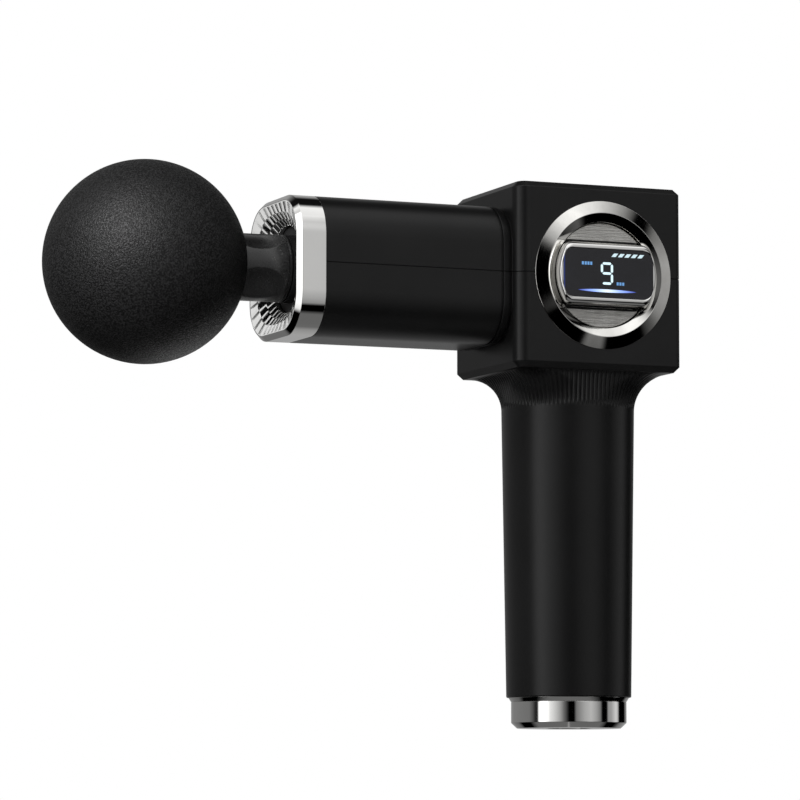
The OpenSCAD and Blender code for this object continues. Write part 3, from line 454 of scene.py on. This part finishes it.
neck_profile = [(tip_x, 0), (tip_x, STEM_R), (seat_x, STEM_R), (seat_x, NECK_R)]
neck_profile += [(seat_x + (SOCKET_FRONT - 1.7 - seat_x) * k / 60, NECK_R) for k in range(1, 61)]
neck_profile += [(SOCKET_FRONT - 1.45, NECK_R - 0.28), (SOCKET_FRONT - 1.2, NECK_R - 0.28),
                 (SOCKET_FRONT - 0.95, NECK_R), (SOCKET_FRONT - 0.6, NECK_R),
                 (SOCKET_FRONT - 0.2, NECK_R - 0.25), (SOCKET_FRONT, NECK_R - 0.7), (SOCKET_FRONT, STEM_R)]
for groove in RING_GROOVES:
    for k in range(13):
        a = math.pi * k / 12
        neck_profile.append((SOCKET_FRONT + groove - RING_GROOVE_HALF * math.cos(a),
                             STEM_R - RING_GROOVE_DEPTH * math.sin(a)))
neck_profile += [(SOCKET_FRONT + STEM_LEN - 0.8, STEM_R), (SOCKET_FRONT + STEM_LEN, STEM_R - 0.8),
                 (SOCKET_FRONT + STEM_LEN, 0)]
neck_rings = []
for i in range(192):
    angle = 2 * math.pi * i / 192
    ring = []
    for x, r in neck_profile:
        if seat_x < x < SOCKET_FRONT - 1.6:
            r -= dimple(x, angle)
        ring.append((x, -r * math.cos(angle), AXIS_Z + r * math.sin(angle)))
    neck_rings.append(ring)
neck = place("neck_grip", loft("neck_grip", neck_rings, closed=True))
finish_piece(neck, "head", "neck_plastic", NECK_PLASTIC, "head_neck")

# ---------------------------------------------------------------- barrel front

bezel_outline = soften([(BARREL_END + 2.9, 2.5), (BARREL_END, 2.5), (BARREL_END, 0.0),
                        (BEZEL_FRONT + 1.6, 0.0), (BEZEL_FRONT, 1.6), (BEZEL_FRONT, 1.8),
                        (BARREL_END - 3, 1.8), (BARREL_END - 3, 3.7), (BARREL_END + 2.9, 3.7)],
                       [0.1, 0.0, 0.2, 0.2, 0.06, 0.06, 0, 0, 0.1])
bezel = place("bezel_ring", loft("bezel_ring", [square_ring(x, BARREL_S - 2 * d, BARREL_R - d, 24)
                                                for x, d in bezel_outline], closed=True))
finish_piece(bezel, "housing", "bright_plate", BRIGHT_PLATE, "front_bezel")

RIM_INSET, HOLE_R, DISH_DEPTH, THROAT, SPOKES = 1.82, 14.2, 4.7, 1.5, 38
CROWN, CROWN_HALF_FLAT, PLAIN_SLIT = 0.25, 0.05, 0.3
rim_side, rim_corner, rim_x = BARREL_S - 2 * RIM_INSET, BARREL_R - RIM_INSET, BEZEL_FRONT + 0.1


def dish_point(level, turn, lift):
    """A point of the dish, from its rounded-square rim at level 0 to the neck's hole at level 1.

    lift raises it towards the front.
    """
    c, s = abs(math.cos(turn)), abs(math.sin(turn))
    h, r = rim_side / 2, rim_corner
    if c * (h - r) > h * s:
        outer = h / c
    elif s * (h - r) > h * c:
        outer = h / s
    else:
        along = (h - r) * (c + s)
        outer = along + math.sqrt(along ** 2 - 2 * (h - r) ** 2 + r * r)
    reach = outer + (HOLE_R - outer) * level
    return (rim_x + DISH_DEPTH * level ** 1.5 - lift, reach * math.cos(turn), AXIS_Z + reach * math.sin(turn))


# Bands of long facets with a pointed slit between each two:
# (outer level, inner level, slit depth, half width of the slit in steps, offset in steps)
dish_bands = [(0.03, 0.42, 0.42, 0.18, 0.0), (0.44, 0.72, 1.3, 0.3, 0.5), (0.74, 0.97, 1.3, 0.33, 0.0)]


def dish_ring(level, deep, slit, offset, crown):
    """One ring of the dish: a slit on each spoke, and a low crown on the facets between."""
    ring = []
    for i in range(SPOKES):
        for from_slit in (0.0, slit, 0.5 - CROWN_HALF_FLAT, 0.5 + CROWN_HALF_FLAT, 1 - slit):
            near = min(from_slit, 1 - from_slit)
            lift = -deep if near == 0.0 else crown * (near - slit) / (0.5 - slit)
            ring.append(dish_point(level, 2 * math.pi * (i + from_slit + offset) / SPOKES, lift))
    return ring


dish_rings = [dish_ring(0.0, 0.0, PLAIN_SLIT, 0.0, 0.0)]
for outer, inner, depth, slit, offset in dish_bands:
    dish_rings += [dish_ring(outer, 0.0, slit, offset, 0.0), dish_ring(inner, depth, slit, offset, CROWN)]
dish_rings.append(dish_ring(1.0, 0.0, PLAIN_SLIT, 0.0, 0.0))
throat, back_face = [[(rim_x + DISH_DEPTH + THROAT, y, z) for _, y, z in ring]
                     for ring in (dish_rings[-1], dish_rings[0])]
dish = place("facet_dish", loft("facet_dish", dish_rings + [throat, back_face], closed=True))
finish_piece(dish, "housing", "bright_plate", CUT_PLATE, "facet_reflector", sharp=1)

# ---------------------------------------------------------------- housing shells

# The cube's inset by height: a 2 mm slope with softened ends at the foot and the top, and the parting line
slope = [(SLOPE, 0.0), (1.85, 0.03), (0.12, 1.76), (0.03, 1.9), (0.0, 2.1)]
seam_up = AXIS_Z - BODY_Z
levels = slope + [(0.0, seam_up - SEAM), (SEAM_DEPTH, seam_up - 0.04), (SEAM_DEPTH, seam_up + 0.04),
                  (0.0, seam_up + SEAM)]
levels += [(inset, BODY_H - up) for inset, up in reversed(slope)]
shell = place("shell", loft("shell", [body_ring(inset, BODY_Z + up) for inset, up in levels]))
face_x = -BODY_W / 2
barrel_levels = [(BARREL_END, -0.3), (BARREL_END + 0.08, -0.1), (BARREL_END + 0.3, 0.0)]
barrel_levels += [(BARREL_END + 8 * k, 0.0) for k in range(1, 8)]
barrel_levels += [(GROOVE_X - 0.15, 0.0), (GROOVE_X, -0.1), (GROOVE_X + 0.04, -GROOVE_DEPTH),
                  (GROOVE_X + GROOVE_W - 0.04, -GROOVE_DEPTH), (GROOVE_X + GROOVE_W, -0.08),
                  (GROOVE_X + GROOVE_W + 0.1, 0.0)]
barrel_levels += [(face_x - 1.9, -0.15), (face_x - 0.9, -0.55), (face_x - 0.3, -VALLEY),
                  (face_x + 2.0, -VALLEY)]
barrel = place("barrel", loft("barrel", [barrel_ring(x, grow) for x, grow in barrel_levels]))
cut(shell, barrel, operation="UNION")
bore = [square_ring(x, BARREL_S - 2 * WALL, BARREL_R - WALL, 8) for x in (BARREL_END - 1, face_x + WALL + 1)]
cut(shell,
    block("cavity", (face_x + WALL, -BODY_D / 2 + WALL, BODY_Z + WALL),
          (-face_x - WALL, BODY_D / 2 - WALL, BODY_Z + BODY_H - WALL)),
    place("bore", loft("bore", bore)),
    rod("dial_hole", "y", (DIAL_X, AXIS_Z), -BODY_D / 2 - 1, -BODY_D / 2 + WALL + 1, DIAL_HOLE_R, 128),
    rod("floor_hole", "z", (0, 0), BODY_Z - 1, BODY_Z + WALL + 1, FLOOR_HOLE_R, 96))
for sx in (-1, 1):
    for sy in (-1, 1):
        spot = (sx * POST_X, sy * POST_Y)
        cut(shell, rod("post", "z", spot, BODY_Z + WALL - 0.2, BODY_Z + BODY_H - WALL + 0.2, POST_R),
            operation="UNION")
        cut(shell, rod("hole", "z", spot, BODY_Z - 1, AXIS_Z + 9, SCREW_R),
            rod("sink", "z", spot, BODY_Z - 1, BODY_Z + SINK_DEPTH, SINK_R))
lower = place("lower_shell", shell.data.copy())
upper = place("upper_shell", shell.data.copy())
bpy.data.objects.remove(shell)
cut(upper, block("below", (-200, -100, -10), (100, 100, AXIS_Z + 0.02)))
cut(lower, block("above", (-200, -100, AXIS_Z - 0.02), (100, 100, 300)))
finish_piece(upper, "housing", "black_shell", BLACK_SHELL, "upper_housing")
finish_piece(lower, "housing", "black_shell", BLACK_SHELL, "lower_housing")

# ---------------------------------------------------------------- handle and base

around = PLEATS * 8
flare_h = BODY_Z - FLARE_Z
FLARE_STEPS = 44


def circle(r, z):
    return [(r * math.cos(2 * math.pi * i / around), r * math.sin(2 * math.pi * i / around), z)
            for i in range(around)]


rings = []
low = [(HANDLE_LOW_Z, -0.35), (HANDLE_LOW_Z + 0.1, -0.1), (HANDLE_LOW_Z + 0.35, 0.0)]
low += [(HANDLE_LOW_Z + (FLARE_Z - HANDLE_LOW_Z) * k / 12, 0.0) for k in range(1, 12)]
for z, grow in low:
    r = HANDLE_LOW_R + (HANDLE_TOP_R - HANDLE_LOW_R) * (z - HANDLE_LOW_Z) / (FLARE_Z - HANDLE_LOW_Z) + grow
    rings.append(circle(r, z))
for k in range(FLARE_STEPS + 1):
    a = math.pi / 2 * k / FLARE_STEPS
    z, t = FLARE_Z + flare_h * math.sin(a), 1 - math.cos(a)
    fade = min(1.0, k / FLARE_STEPS / 0.16) * min(1.0, (1 - k / FLARE_STEPS) / 0.3)
    ring = []
    for i in range(around):
        angle = 2 * math.pi * i / around
        wave = (0.5 - 0.5 * math.cos(PLEATS * angle)) ** 1.6
        r = flare_radius(angle, t) - PLEAT_DEPTH * fade * fade * (3 - 2 * fade) * wave
        ring.append((r * math.cos(angle), r * math.sin(angle), z))
    rings.append(ring)
rings += [circle(FLOOR_HOLE_R, BODY_Z), circle(FLOOR_HOLE_R, FLARE_Z + 1.8),
          circle(HANDLE_TOP_R - HANDLE_WALL, FLARE_Z - 1), circle(HANDLE_LOW_R - HANDLE_WALL, HANDLE_LOW_Z)]
handle = place("grip_shell", loft("grip_shell", rings, closed=True))
finish_piece(handle, "housing", "black_shell", BLACK_SHELL, "handle_shell", sharp=50)

ring_profile = soften([(CAP_H, 16.0), (CAP_H, CAP_R - 0.05), (HANDLE_LOW_Z, CAP_R + 0.9),
                       (HANDLE_LOW_Z, 18.6), (HANDLE_LOW_Z + 5, 18.6), (HANDLE_LOW_Z + 5, 16.0)],
                      [0, 0.12, 0.12, 0, 0, 0])
base_ring = place("base_cone", turned("base_cone", ring_profile, "z", (0, 0)))
finish_piece(base_ring, "housing", "bright_plate", BRIGHT_PLATE, "base_ring")

cap_profile = soften([(0.8, 0), (0.8, 7.5), (0.0, 7.5), (0.0, CAP_R - 1.9), (1.8, CAP_R), (CAP_H, CAP_R),
                      (CAP_H, 15.9), (CAP_H + 3.4, 15.9), (CAP_H + 3.4, 14.2), (2.2, 14.2), (2.2, 0)],
                     [0, 0.15, 0.3, 0.25, 0.25, 0.18, 0, 0, 0, 0, 0])
cap = place("cap_shell", turned("cap_shell", cap_profile, "z", (0, 0)))
INLET_HALF, INLET_R = 2.85, 1.95
inlet = []
for x, start in ((INLET_HALF, -90), (INLET_HALF, 0), (-INLET_HALF, 90), (-INLET_HALF, 180)):
    inlet += corner_arc(x, 0, INLET_R, start, 8)
cut(cap, place("inlet", loft("inlet", [[(x, y, z) for x, y in inlet] for z in (-1, 3)])))
finish_piece(cap, "housing", "bright_plate", BRIGHT_PLATE, "base_cap")

# ---------------------------------------------------------------- dial

dial_profile = soften([(-BODY_D / 2, DIAL_R), (DIAL_EDGE_Y - 0.15, DIAL_R), (LIP_Y, LIP_R), (RECESS_Y, 17.5),
                       (FLOOR_Y + 4.6, 17.5), (FLOOR_Y + 4.6, 19.0), (-23.1, 19.0), (-23.1, 20.6),
                       (-BODY_D / 2, 20.6)],
                      [0.02, 0.2, 0.3, 0.15, 0, 0, 0, 0, 0])
dial = place("dial_ring", turned("dial_ring", dial_profile, "y", (DIAL_X, AXIS_Z), 256))
finish_piece(dial, "housing", "bright_plate", SPUN_PLATE, "dial_bezel", sharp=20)

disc_profile = soften([(FLOOR_Y, 4.5), (FLOOR_Y, DISC_R), (FLOOR_Y + 1.4, DISC_R), (FLOOR_Y + 1.4, 4.5)],
                      [0, 0.25, 0, 0])
disc = place("brushed_disc", turned("brushed_disc", disc_profile, "y", (DIAL_X, AXIS_Z), 192))


def four_quarters(quarter, y, h):
    """A ring about the dial's centre at y, from the points of its first quarter and its height."""
    top = quarter + [(0, h / 2)] + [(-a, b) for a, b in reversed(quarter)][:-1]
    return [(DIAL_X + a, y, AXIS_Z + b) for a, b in top + [(-a, -b) for a, b in top]]


def pod_ring(y, h, corner, inset=0.0):
    """The pod's outline at y: a bar with ends inset from the disc's circle and rounded corners."""
    r = DISC_R - inset
    half = h / 2 - corner
    end = math.asin(half / (r - corner))
    cx = (r - corner) * math.cos(end)
    quarter = [(r * math.cos(end * k / 12), r * math.sin(end * k / 12)) for k in range(13)]
    for k in range(1, 11):
        a = end + (math.pi / 2 - end) * k / 10
        quarter.append((cx + corner * math.cos(a), half + corner * math.sin(a)))
    quarter.append((cx / 2, h / 2))
    return four_quarters(quarter, y, h)


def glass_ring(y, w, h, r):
    """The window's rounded rectangle, with as many points as pod_ring."""
    quarter = [(w / 2, (h / 2 - r) * k / 12) for k in range(13)]
    for k in range(1, 11):
        a = math.pi / 2 * k / 10
        quarter.append((w / 2 - r + r * math.cos(a), h / 2 - r + r * math.sin(a)))
    quarter.append(((w / 2 - r) / 2, h / 2))
    return four_quarters(quarter, y, h)


groove_rings = [pod_ring(y, 22.9, 3.6, -1) for y in (FLOOR_Y - 1, FLOOR_Y + 1.0)]
cut(disc, place("groove_about_pod", loft("groove_about_pod", groove_rings)))
finish_piece(disc, "knob", "brushed_plate", BRUSHED_PLATE, "dial_disc")
# A near-black ring fills the groove about the pod, 0.15 mm behind the disc's face: painted shade for the dark
# gap between pod and disc.
gap_shade_rings = [pod_ring(FLOOR_Y + deep, 22.86 - thick, 3.6 - thick / 2, 0.1 + thick / 2)
              for deep, thick in ((0.15, 0.0), (0.95, 0.0), (0.95, 1.4), (0.15, 1.4))]
gap_shade = place("pod_gap_shade", loft("pod_gap_shade", gap_shade_rings, closed=True))
finish_piece(gap_shade, "knob", "rubber_black", GAP_SHADE_BLACK)

# From its foot in the disc's groove the pod swells past the disc, then rounds over to the window's frame.
# Each point is (distance behind its front, half height, inset from the disc's circle).
pod_profile = [(FLOOR_Y + 0.9 - POD_Y, 10.6, 0.05), (3.3, 10.45, 0.0), (2.95, 10.4, -0.3),
               (2.7, 10.35, -0.42)]
for k in range(1, 13):
    a = math.radians(90 * k / 12)
    pod_profile.append((2.7 - 2.7 * math.sin(a), 8.55 + 1.8 * math.cos(a), 0.42 - 0.84 * math.cos(a)))
pod_rings = [pod_ring(POD_Y + deep, 2 * half, 3.0 + 0.1 * (10.6 - half), inset)
             for deep, half, inset in pod_profile]
pod_rings += [glass_ring(POD_Y, 32.7, 16.6, 3.95), glass_ring(POD_Y + 0.12, 32.35, 16.15, 3.85),
              glass_ring(POD_Y + 4.1, 32.3, 16.1, 3.8)]
pod = place("pod_frame", loft("pod_frame", pod_rings))
finish_piece(pod, "knob", "bright_plate", BRIGHT_PLATE, "display_pod")

glass_rings = [glass_ring(POD_Y + 1.1, 32.2, 16.0, 3.75), glass_ring(POD_Y + 0.25, 32.2, 16.0, 3.75),
               glass_ring(POD_Y + 0.13, 32.12, 15.92, 3.71), glass_ring(POD_Y + 0.1, 31.9, 15.7, 3.6)]
glass = place("window", loft("window", glass_rings))
finish_piece(glass, "knob", "display_black", DISPLAY_BLACK, "display_glass")

MARK_Y = POD_Y + 0.1


def plate(name, shapes, colour, strength):
    """Thin lit marks on the window, each a polygon of (x, z) about the dial's centre."""
    bm = bmesh.new()
    for shape in shapes:
        front = [bm.verts.new(((DIAL_X + x) * MM, (MARK_Y - 0.04) * MM, (AXIS_Z + z) * MM)) for x, z in shape]
        rear = [bm.verts.new(((DIAL_X + x) * MM, (MARK_Y + 0.05) * MM, (AXIS_Z + z) * MM)) for x, z in shape]
        bm.faces.new(front)
        bm.faces.new(list(reversed(rear)))
        for i in range(len(shape)):
            j = (i + 1) % len(shape)
            bm.faces.new((front[i], rear[i], rear[j], front[j]))
    bmesh.ops.recalc_face_normals(bm, faces=bm.faces)
    mesh = bpy.data.meshes.new(name)
    bm.to_mesh(mesh)
    bm.free()
    piece = place(name, mesh)
    mesh.materials.append(glowing(name, colour, strength))
    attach(piece, "knob")
    return piece


def segment(x0, z0, x1, z1, half=0.4, gap=0.2):
    """One bar of the figure, pointed at both ends."""
    a, b = Vector((x0, z0)), Vector((x1, z1))
    u = (b - a).normalized()
    v = Vector((-u.y, u.x)) * half
    a, b = a + u * gap, b - u * gap
    return [tuple(p) for p in (a, a + u * half + v, b - u * half + v, b, b - u * half - v, a + u * half - v)]


def blocks(x, z, widths, height, space=0.3):
    """A row of small upright blocks, a plain mark for one end of the speed range."""
    out = []
    for width in widths:
        out.append([(x, z), (x + width, z), (x + width, z + height), (x, z + height)])
        x += width + space
    return out


left, right, foot, middle, head = -2.4, 1.2, -3.25, 0.05, 3.3
nine = [segment(left, head, right, head), segment(right, middle, right, head),
        segment(right, foot, right, middle), segment(left, middle, left, head),
        segment(left, middle, right, middle), segment(left, foot, right, foot)]
plate("speed_figure", nine, (0.72, 0.93, 1.0), 1.25)
BAR_STEP, BAR_FOOT, BAR_HEAD, BAR_W, BAR_LEAN = 2.35, 5.6, 6.75, 1.5, 1.0
bars = []
for k in range(5):
    x = 1.0 + BAR_STEP * k
    bars.append([(x, BAR_FOOT), (x + BAR_W, BAR_FOOT), (x + (BAR_W + BAR_LEAN), BAR_HEAD),
                 (x + BAR_LEAN, BAR_HEAD)])
plate("charge_bars", bars, (0.72, 0.93, 1.0), 1.0)
plate("level_marks", blocks(-9.6, 2.6, (0.7, 0.7, 0.7, 0.7), 1.05) + blocks(2.9, -3.7, (0.7, 0.7, 0.7), 1.0),
      (0.2, 0.5, 1.0), 0.75)
LINE_X, LINE_Z, LINE_HALF = -0.5, -5.7, 10.5
lens = [(LINE_HALF * k / 12, 0.5 * (1 - (k / 12) ** 2) ** 0.7) for k in range(-12, 13)]
lens += [(x, -z) for x, z in reversed(lens[1:-1])]
# The line is palest in the middle and deep blue at its ends
light_line = plate("light_line", [[(LINE_X + x, LINE_Z + z) for x, z in lens]], (1, 1, 1), 1.3)
tree = light_line.data.materials[0].node_tree
spot = tree.nodes.new("ShaderNodeTexCoord")
axes = tree.nodes.new("ShaderNodeSeparateXYZ")
tree.links.new(spot.outputs["Object"], axes.inputs["Vector"])
shift = math_node(tree, "SUBTRACT", axes.outputs["X"], (DIAL_X + LINE_X) * MM)
away = math_node(tree, "ABSOLUTE", shift)
shade = tree.nodes.new("ShaderNodeValToRGB")
shade.color_ramp.elements[0].color = (0.75, 0.88, 1.0, 1)
shade.color_ramp.elements[1].color = (0.02, 0.03, 0.35, 1)
shade.color_ramp.elements.new(0.45).color = (0.3, 0.45, 1.0, 1)
tree.links.new(spread(tree, away, 0.0, 1.0, 0.0, LINE_HALF * MM), shade.inputs["Fac"])
tree.links.new(shade.outputs["Color"], tree.nodes["Principled BSDF"].inputs["Emission Color"])
plate("edge_glow", [[(-15.95, -5.6), (-15.7, -5.6), (-15.7, 5.6), (-15.95, 5.6)]], (0.05, 0.1, 0.6), 0.35)

# ---------------------------------------------------------------- the CAD nodes that stay

for part in frame["record"]["subparts"]:
    node = frame["nodes"][part["node"]]
    if not node.material_slots:
        node.data.materials.append(None)
    for holder in node.material_slots:
        holder.material = MATERIALS[part["material_slot"]]

# ---------------------------------------------------------------- stage, light and camera

CAMERA_AZ, CAMERA_EL, CAMERA_DISTANCE, CAMERA_LENS = -22.6, -5.64, 1.381, 190.4
target = Vector((-0.06023, 0.0, 0.10644))
a, e = math.radians(CAMERA_AZ), math.radians(CAMERA_EL)
back = Vector((math.sin(a) * math.cos(e), -math.cos(a) * math.cos(e), math.sin(e)))
lens_data = bpy.data.cameras.new("camera")
lens_data.lens, lens_data.sensor_width = CAMERA_LENS, 36.0
lens_data.clip_start, lens_data.clip_end = 0.01, 100.0
camera = bpy.data.objects.new("camera", lens_data)
camera.location = target + back * CAMERA_DISTANCE
camera.rotation_mode = "QUATERNION"
camera.rotation_quaternion = (-back).to_track_quat("-Z", "Y")
scene.collection.objects.link(camera)
scene.camera = camera

# The floor's underside is clear, because the camera looks from just below it. It lies a fifth of a
# millimetre under the cap, and off centre, so that its diagonal passes beside the tool.
FLOOR_LEFT, FLOOR_RIGHT, FLOOR_HALF, FLOOR_LEVEL = -3.5, 2.5, 3, -0.0002
floor_corners = [(FLOOR_LEFT, -FLOOR_HALF, FLOOR_LEVEL), (FLOOR_RIGHT, -FLOOR_HALF, FLOOR_LEVEL),
                 (FLOOR_RIGHT, FLOOR_HALF, FLOOR_LEVEL), (FLOOR_LEFT, FLOOR_HALF, FLOOR_LEVEL)]
floor_mesh = bpy.data.meshes.new("floor")
floor_mesh.from_pydata(floor_corners, [], [(0, 1, 2, 3)])
floor = place("floor", floor_mesh)
floor_material, tree, shader = node_material("pale_floor")
floor_tint = tint(tree, noise(tree, 3.0), (0.78, 0.78, 0.78), (0.82, 0.82, 0.82))
tree.links.new(floor_tint, shader.inputs["Base Color"])
shader.inputs["Roughness"].default_value = 0.8
clear = tree.nodes.new("ShaderNodeBsdfTransparent")
side = tree.nodes.new("ShaderNodeNewGeometry")
mixed = tree.nodes.new("ShaderNodeMixShader")
tree.links.new(side.outputs["Backfacing"], mixed.inputs["Fac"])
tree.links.new(shader.outputs["BSDF"], mixed.inputs[1])
tree.links.new(clear.outputs["BSDF"], mixed.inputs[2])
tree.links.new(mixed.outputs["Shader"], tree.nodes["Material Output"].inputs["Surface"])
floor_mesh.materials.append(floor_material)
floor.visible_glossy = False

# The studio: soft panels and dark gaps around the object, by the direction they are seen in
world = bpy.data.worlds.new("studio")
scene.world = world
world.use_nodes = True
tree = world.node_tree
direction = tree.nodes.new("ShaderNodeTexCoord")
parts = tree.nodes.new("ShaderNodeSeparateXYZ")
tree.links.new(direction.outputs["Generated"], parts.inputs["Vector"])


def ramp(value, stops):
    node = tree.nodes.new("ShaderNodeValToRGB")
    elements = node.color_ramp.elements
    while len(elements) < len(stops):
        elements.new(0.5)
    for element, (position, level) in zip(elements, stops):
        element.position = position
        element.color = (level, level, level, 1)
    tree.links.new(value, node.inputs["Fac"])
    return node.outputs["Color"]


bearing = math_node(tree, "ARCTAN2", parts.outputs["Y"], parts.outputs["X"])
turns = math_node(tree, "DIVIDE", bearing, 2 * math.pi)
turn = math_node(tree, "FRACT", math_node(tree, "ADD", turns, (90 - CAMERA_AZ) / 360 + 1.5))
rise = math_node(tree, "ARCSINE", parts.outputs["Z"])
height = math_node(tree, "ADD", math_node(tree, "DIVIDE", rise, math.pi), 0.5)
# Levels of the upright panels and gaps, by degrees from the camera, to its right. The panels on the
# far left and on the far right reach from low down to high up. The others differ by height.
left_panels = [(-180, 0.3), (-152, 0.22), (-88, 0.17), (-80, 0.1), (-73, 0.02), (-67, 0.02), (-63, 1.6),
               (-50, 1.6), (-40, 0.85), (-20, 0.38)]
right_panels = [(107, 0.65), (113, 0.45), (118, 0.0), (146, 0.0), (153, 0.33), (180, 0.3)]
panels = left_panels[:2] + [(-144, 0.2), (-133, 0.2), (-122, 0.19)] + left_panels[2:]
panels += [(-12, 0.15), (-5, 0.03), (-2, 0.0), (9, 0.0), (13, 0.18), (30, 0.4), (43, 0.5), (54, 0.36),
           (64, 0.18), (68, 0.0), (80, 0.0), (84, 0.3), (92, 0.34)] + right_panels
# Low down, where the table hides most of what is in front
low_panels = left_panels + [(-5, 0.03), (-2, 0.0), (35, 0.0), (39, 0.5), (49, 0.5), (53, 0.0), (76, 0.0),
                            (84, 0.2), (97, 0.0), (99, 0.1)] + right_panels
# High up, where they lean over the camera
high_panels = left_panels + [(-5, 0.03), (-2, 0.0), (9, 0.0), (12, 0.3), (22, 0.7), (34, 0.85), (45, 0.55),
                             (52, 0.4), (58, 0.16), (70, 0.0), (85, 0.0), (88, 0.2), (95, 0.1),
                             (104, 0.05)] + right_panels
# How they fade with height, from straight down to straight up
fade_stops = [(-46, 0.0), (-34, 0.0), (-28, 0.5), (-15, 0.72), (0, 0.9), (8, 1.0), (30, 1.2)]
# The large softbox overhead, by the same degrees, and its own fade
overhead = [(-180, 0.005), (-95, 0.005), (-82, 0.9), (-20, 1.0), (35, 1.0), (60, 0.8), (95, 0.9), (105, 0.6),
            (117, 0.2), (126, 0.005), (180, 0.005)]
# The table below, darker in front
below = [(-180, 0.34), (-165, 0.24), (-140, 0.12), (120, 0.12), (150, 0.13), (165, 0.26), (180, 0.34)]
# Where the table's level takes over from the panels, on the far side of the tool from the camera
far_side = [(-180, 1.0), (-168, 0.0), (142, 0.0), (156, 1.0), (180, 1.0)]


def by_turn(stops):
    return ramp(turn, [(0.5 + angle / 360, level) for angle, level in stops])


def by_height(stops):
    return ramp(height, [(0.5 + angle / 180, level) for angle, level in stops])


def mixed_colour(blend, factor, first, second):
    node = tree.nodes.new("ShaderNodeMix")
    node.data_type, node.blend_type = "RGBA", blend
    if isinstance(factor, float):
        node.inputs["Factor"].default_value = factor
    else:
        tree.links.new(factor, node.inputs["Factor"])
    tree.links.new(first, node.inputs["A"])
    tree.links.new(second, node.inputs["B"])
    return node.outputs["Result"]


walls = mixed_colour("MIX", by_height([(-16, 0.0), (-6, 1.0)]), by_turn(low_panels), by_turn(panels))
walls = mixed_colour("MIX", by_height([(13, 0.0), (23, 1.0)]), walls, by_turn(high_panels))
walls = mixed_colour("MULTIPLY", 1.0, walls, by_height(fade_stops))
walls = mixed_colour("MIX", by_turn(far_side), walls, by_turn(below))
above = mixed_colour("MIX", by_height([(35, 0.0), (50, 1.0)]), walls, by_turn(overhead))
level = mixed_colour("MIX", by_height([(-56, 1.0), (-48, 0.0)]), above, by_turn(below))
light = tree.nodes["Background"]
light.inputs["Strength"].default_value = 1.13
tree.links.new(level, light.inputs["Color"])
seen = tree.nodes.new("ShaderNodeBackground")
seen.inputs["Color"].default_value = (1, 1, 1, 1)
path = tree.nodes.new("ShaderNodeLightPath")
both = tree.nodes.new("ShaderNodeMixShader")
tree.links.new(path.outputs["Is Camera Ray"], both.inputs["Fac"])
tree.links.new(light.outputs["Background"], both.inputs[1])
tree.links.new(seen.outputs["Background"], both.inputs[2])
tree.links.new(both.outputs["Shader"], tree.nodes["World Output"].inputs["Surface"])
scene.view_settings.view_transform = "Standard"


def softbox(name, location, aim, size, power, mirrored=False):
    data = bpy.data.lights.new(name, "AREA")
    data.shape, data.size, data.size_y, data.energy = "RECTANGLE", size[0], size[1], power
    lamp = bpy.data.objects.new(name, data)
    lamp.location = location
    lamp.rotation_mode = "QUATERNION"
    lamp.rotation_quaternion = (Vector(aim) - Vector(location)).to_track_quat("-Z", "Y")
    lamp.visible_camera = False
    lamp.visible_glossy = mirrored
    scene.collection.objects.link(lamp)
    return lamp


softbox("key", location=(-1.3, -1.2, 0.75), aim=(-0.1, 0, 0.12), size=(0.7, 0.7), power=45.0)
softbox("low_fill", location=(0.7, -0.3, -0.9), aim=(-0.12, 0, 0.12), size=(0.8, 0.8), power=24.0)


def card_for(piece, location, aim, size, power):
    """A white card that only one piece sees."""
    card = softbox("card_for_" + piece.name, location, aim, size, power, mirrored=True)
    card.light_linking.receiver_collection = bpy.data.collections.new("lit_" + piece.name)
    card.light_linking.receiver_collection.objects.link(piece)


ball_centre = (-0.1485, 0, 0.1475)
card_for(dish, location=(-0.35, 0.25, 0.18), aim=(-0.1, 0, 0.15), size=(0.45, 0.4), power=0.3)
card_for(ball, location=(-0.706, -0.51, 0.638), aim=ball_centre, size=(0.3, 0.3), power=30.0)
card_for(ball, location=(0.27, 0.48, -0.28), aim=ball_centre, size=(0.4, 0.4), power=1.0)
card_for(neck, location=(-0.4, -0.42, 0.8), aim=(-0.115, 0, 0.1475), size=(0.3, 0.12), power=4.0)

bpy.context.view_layer.update()
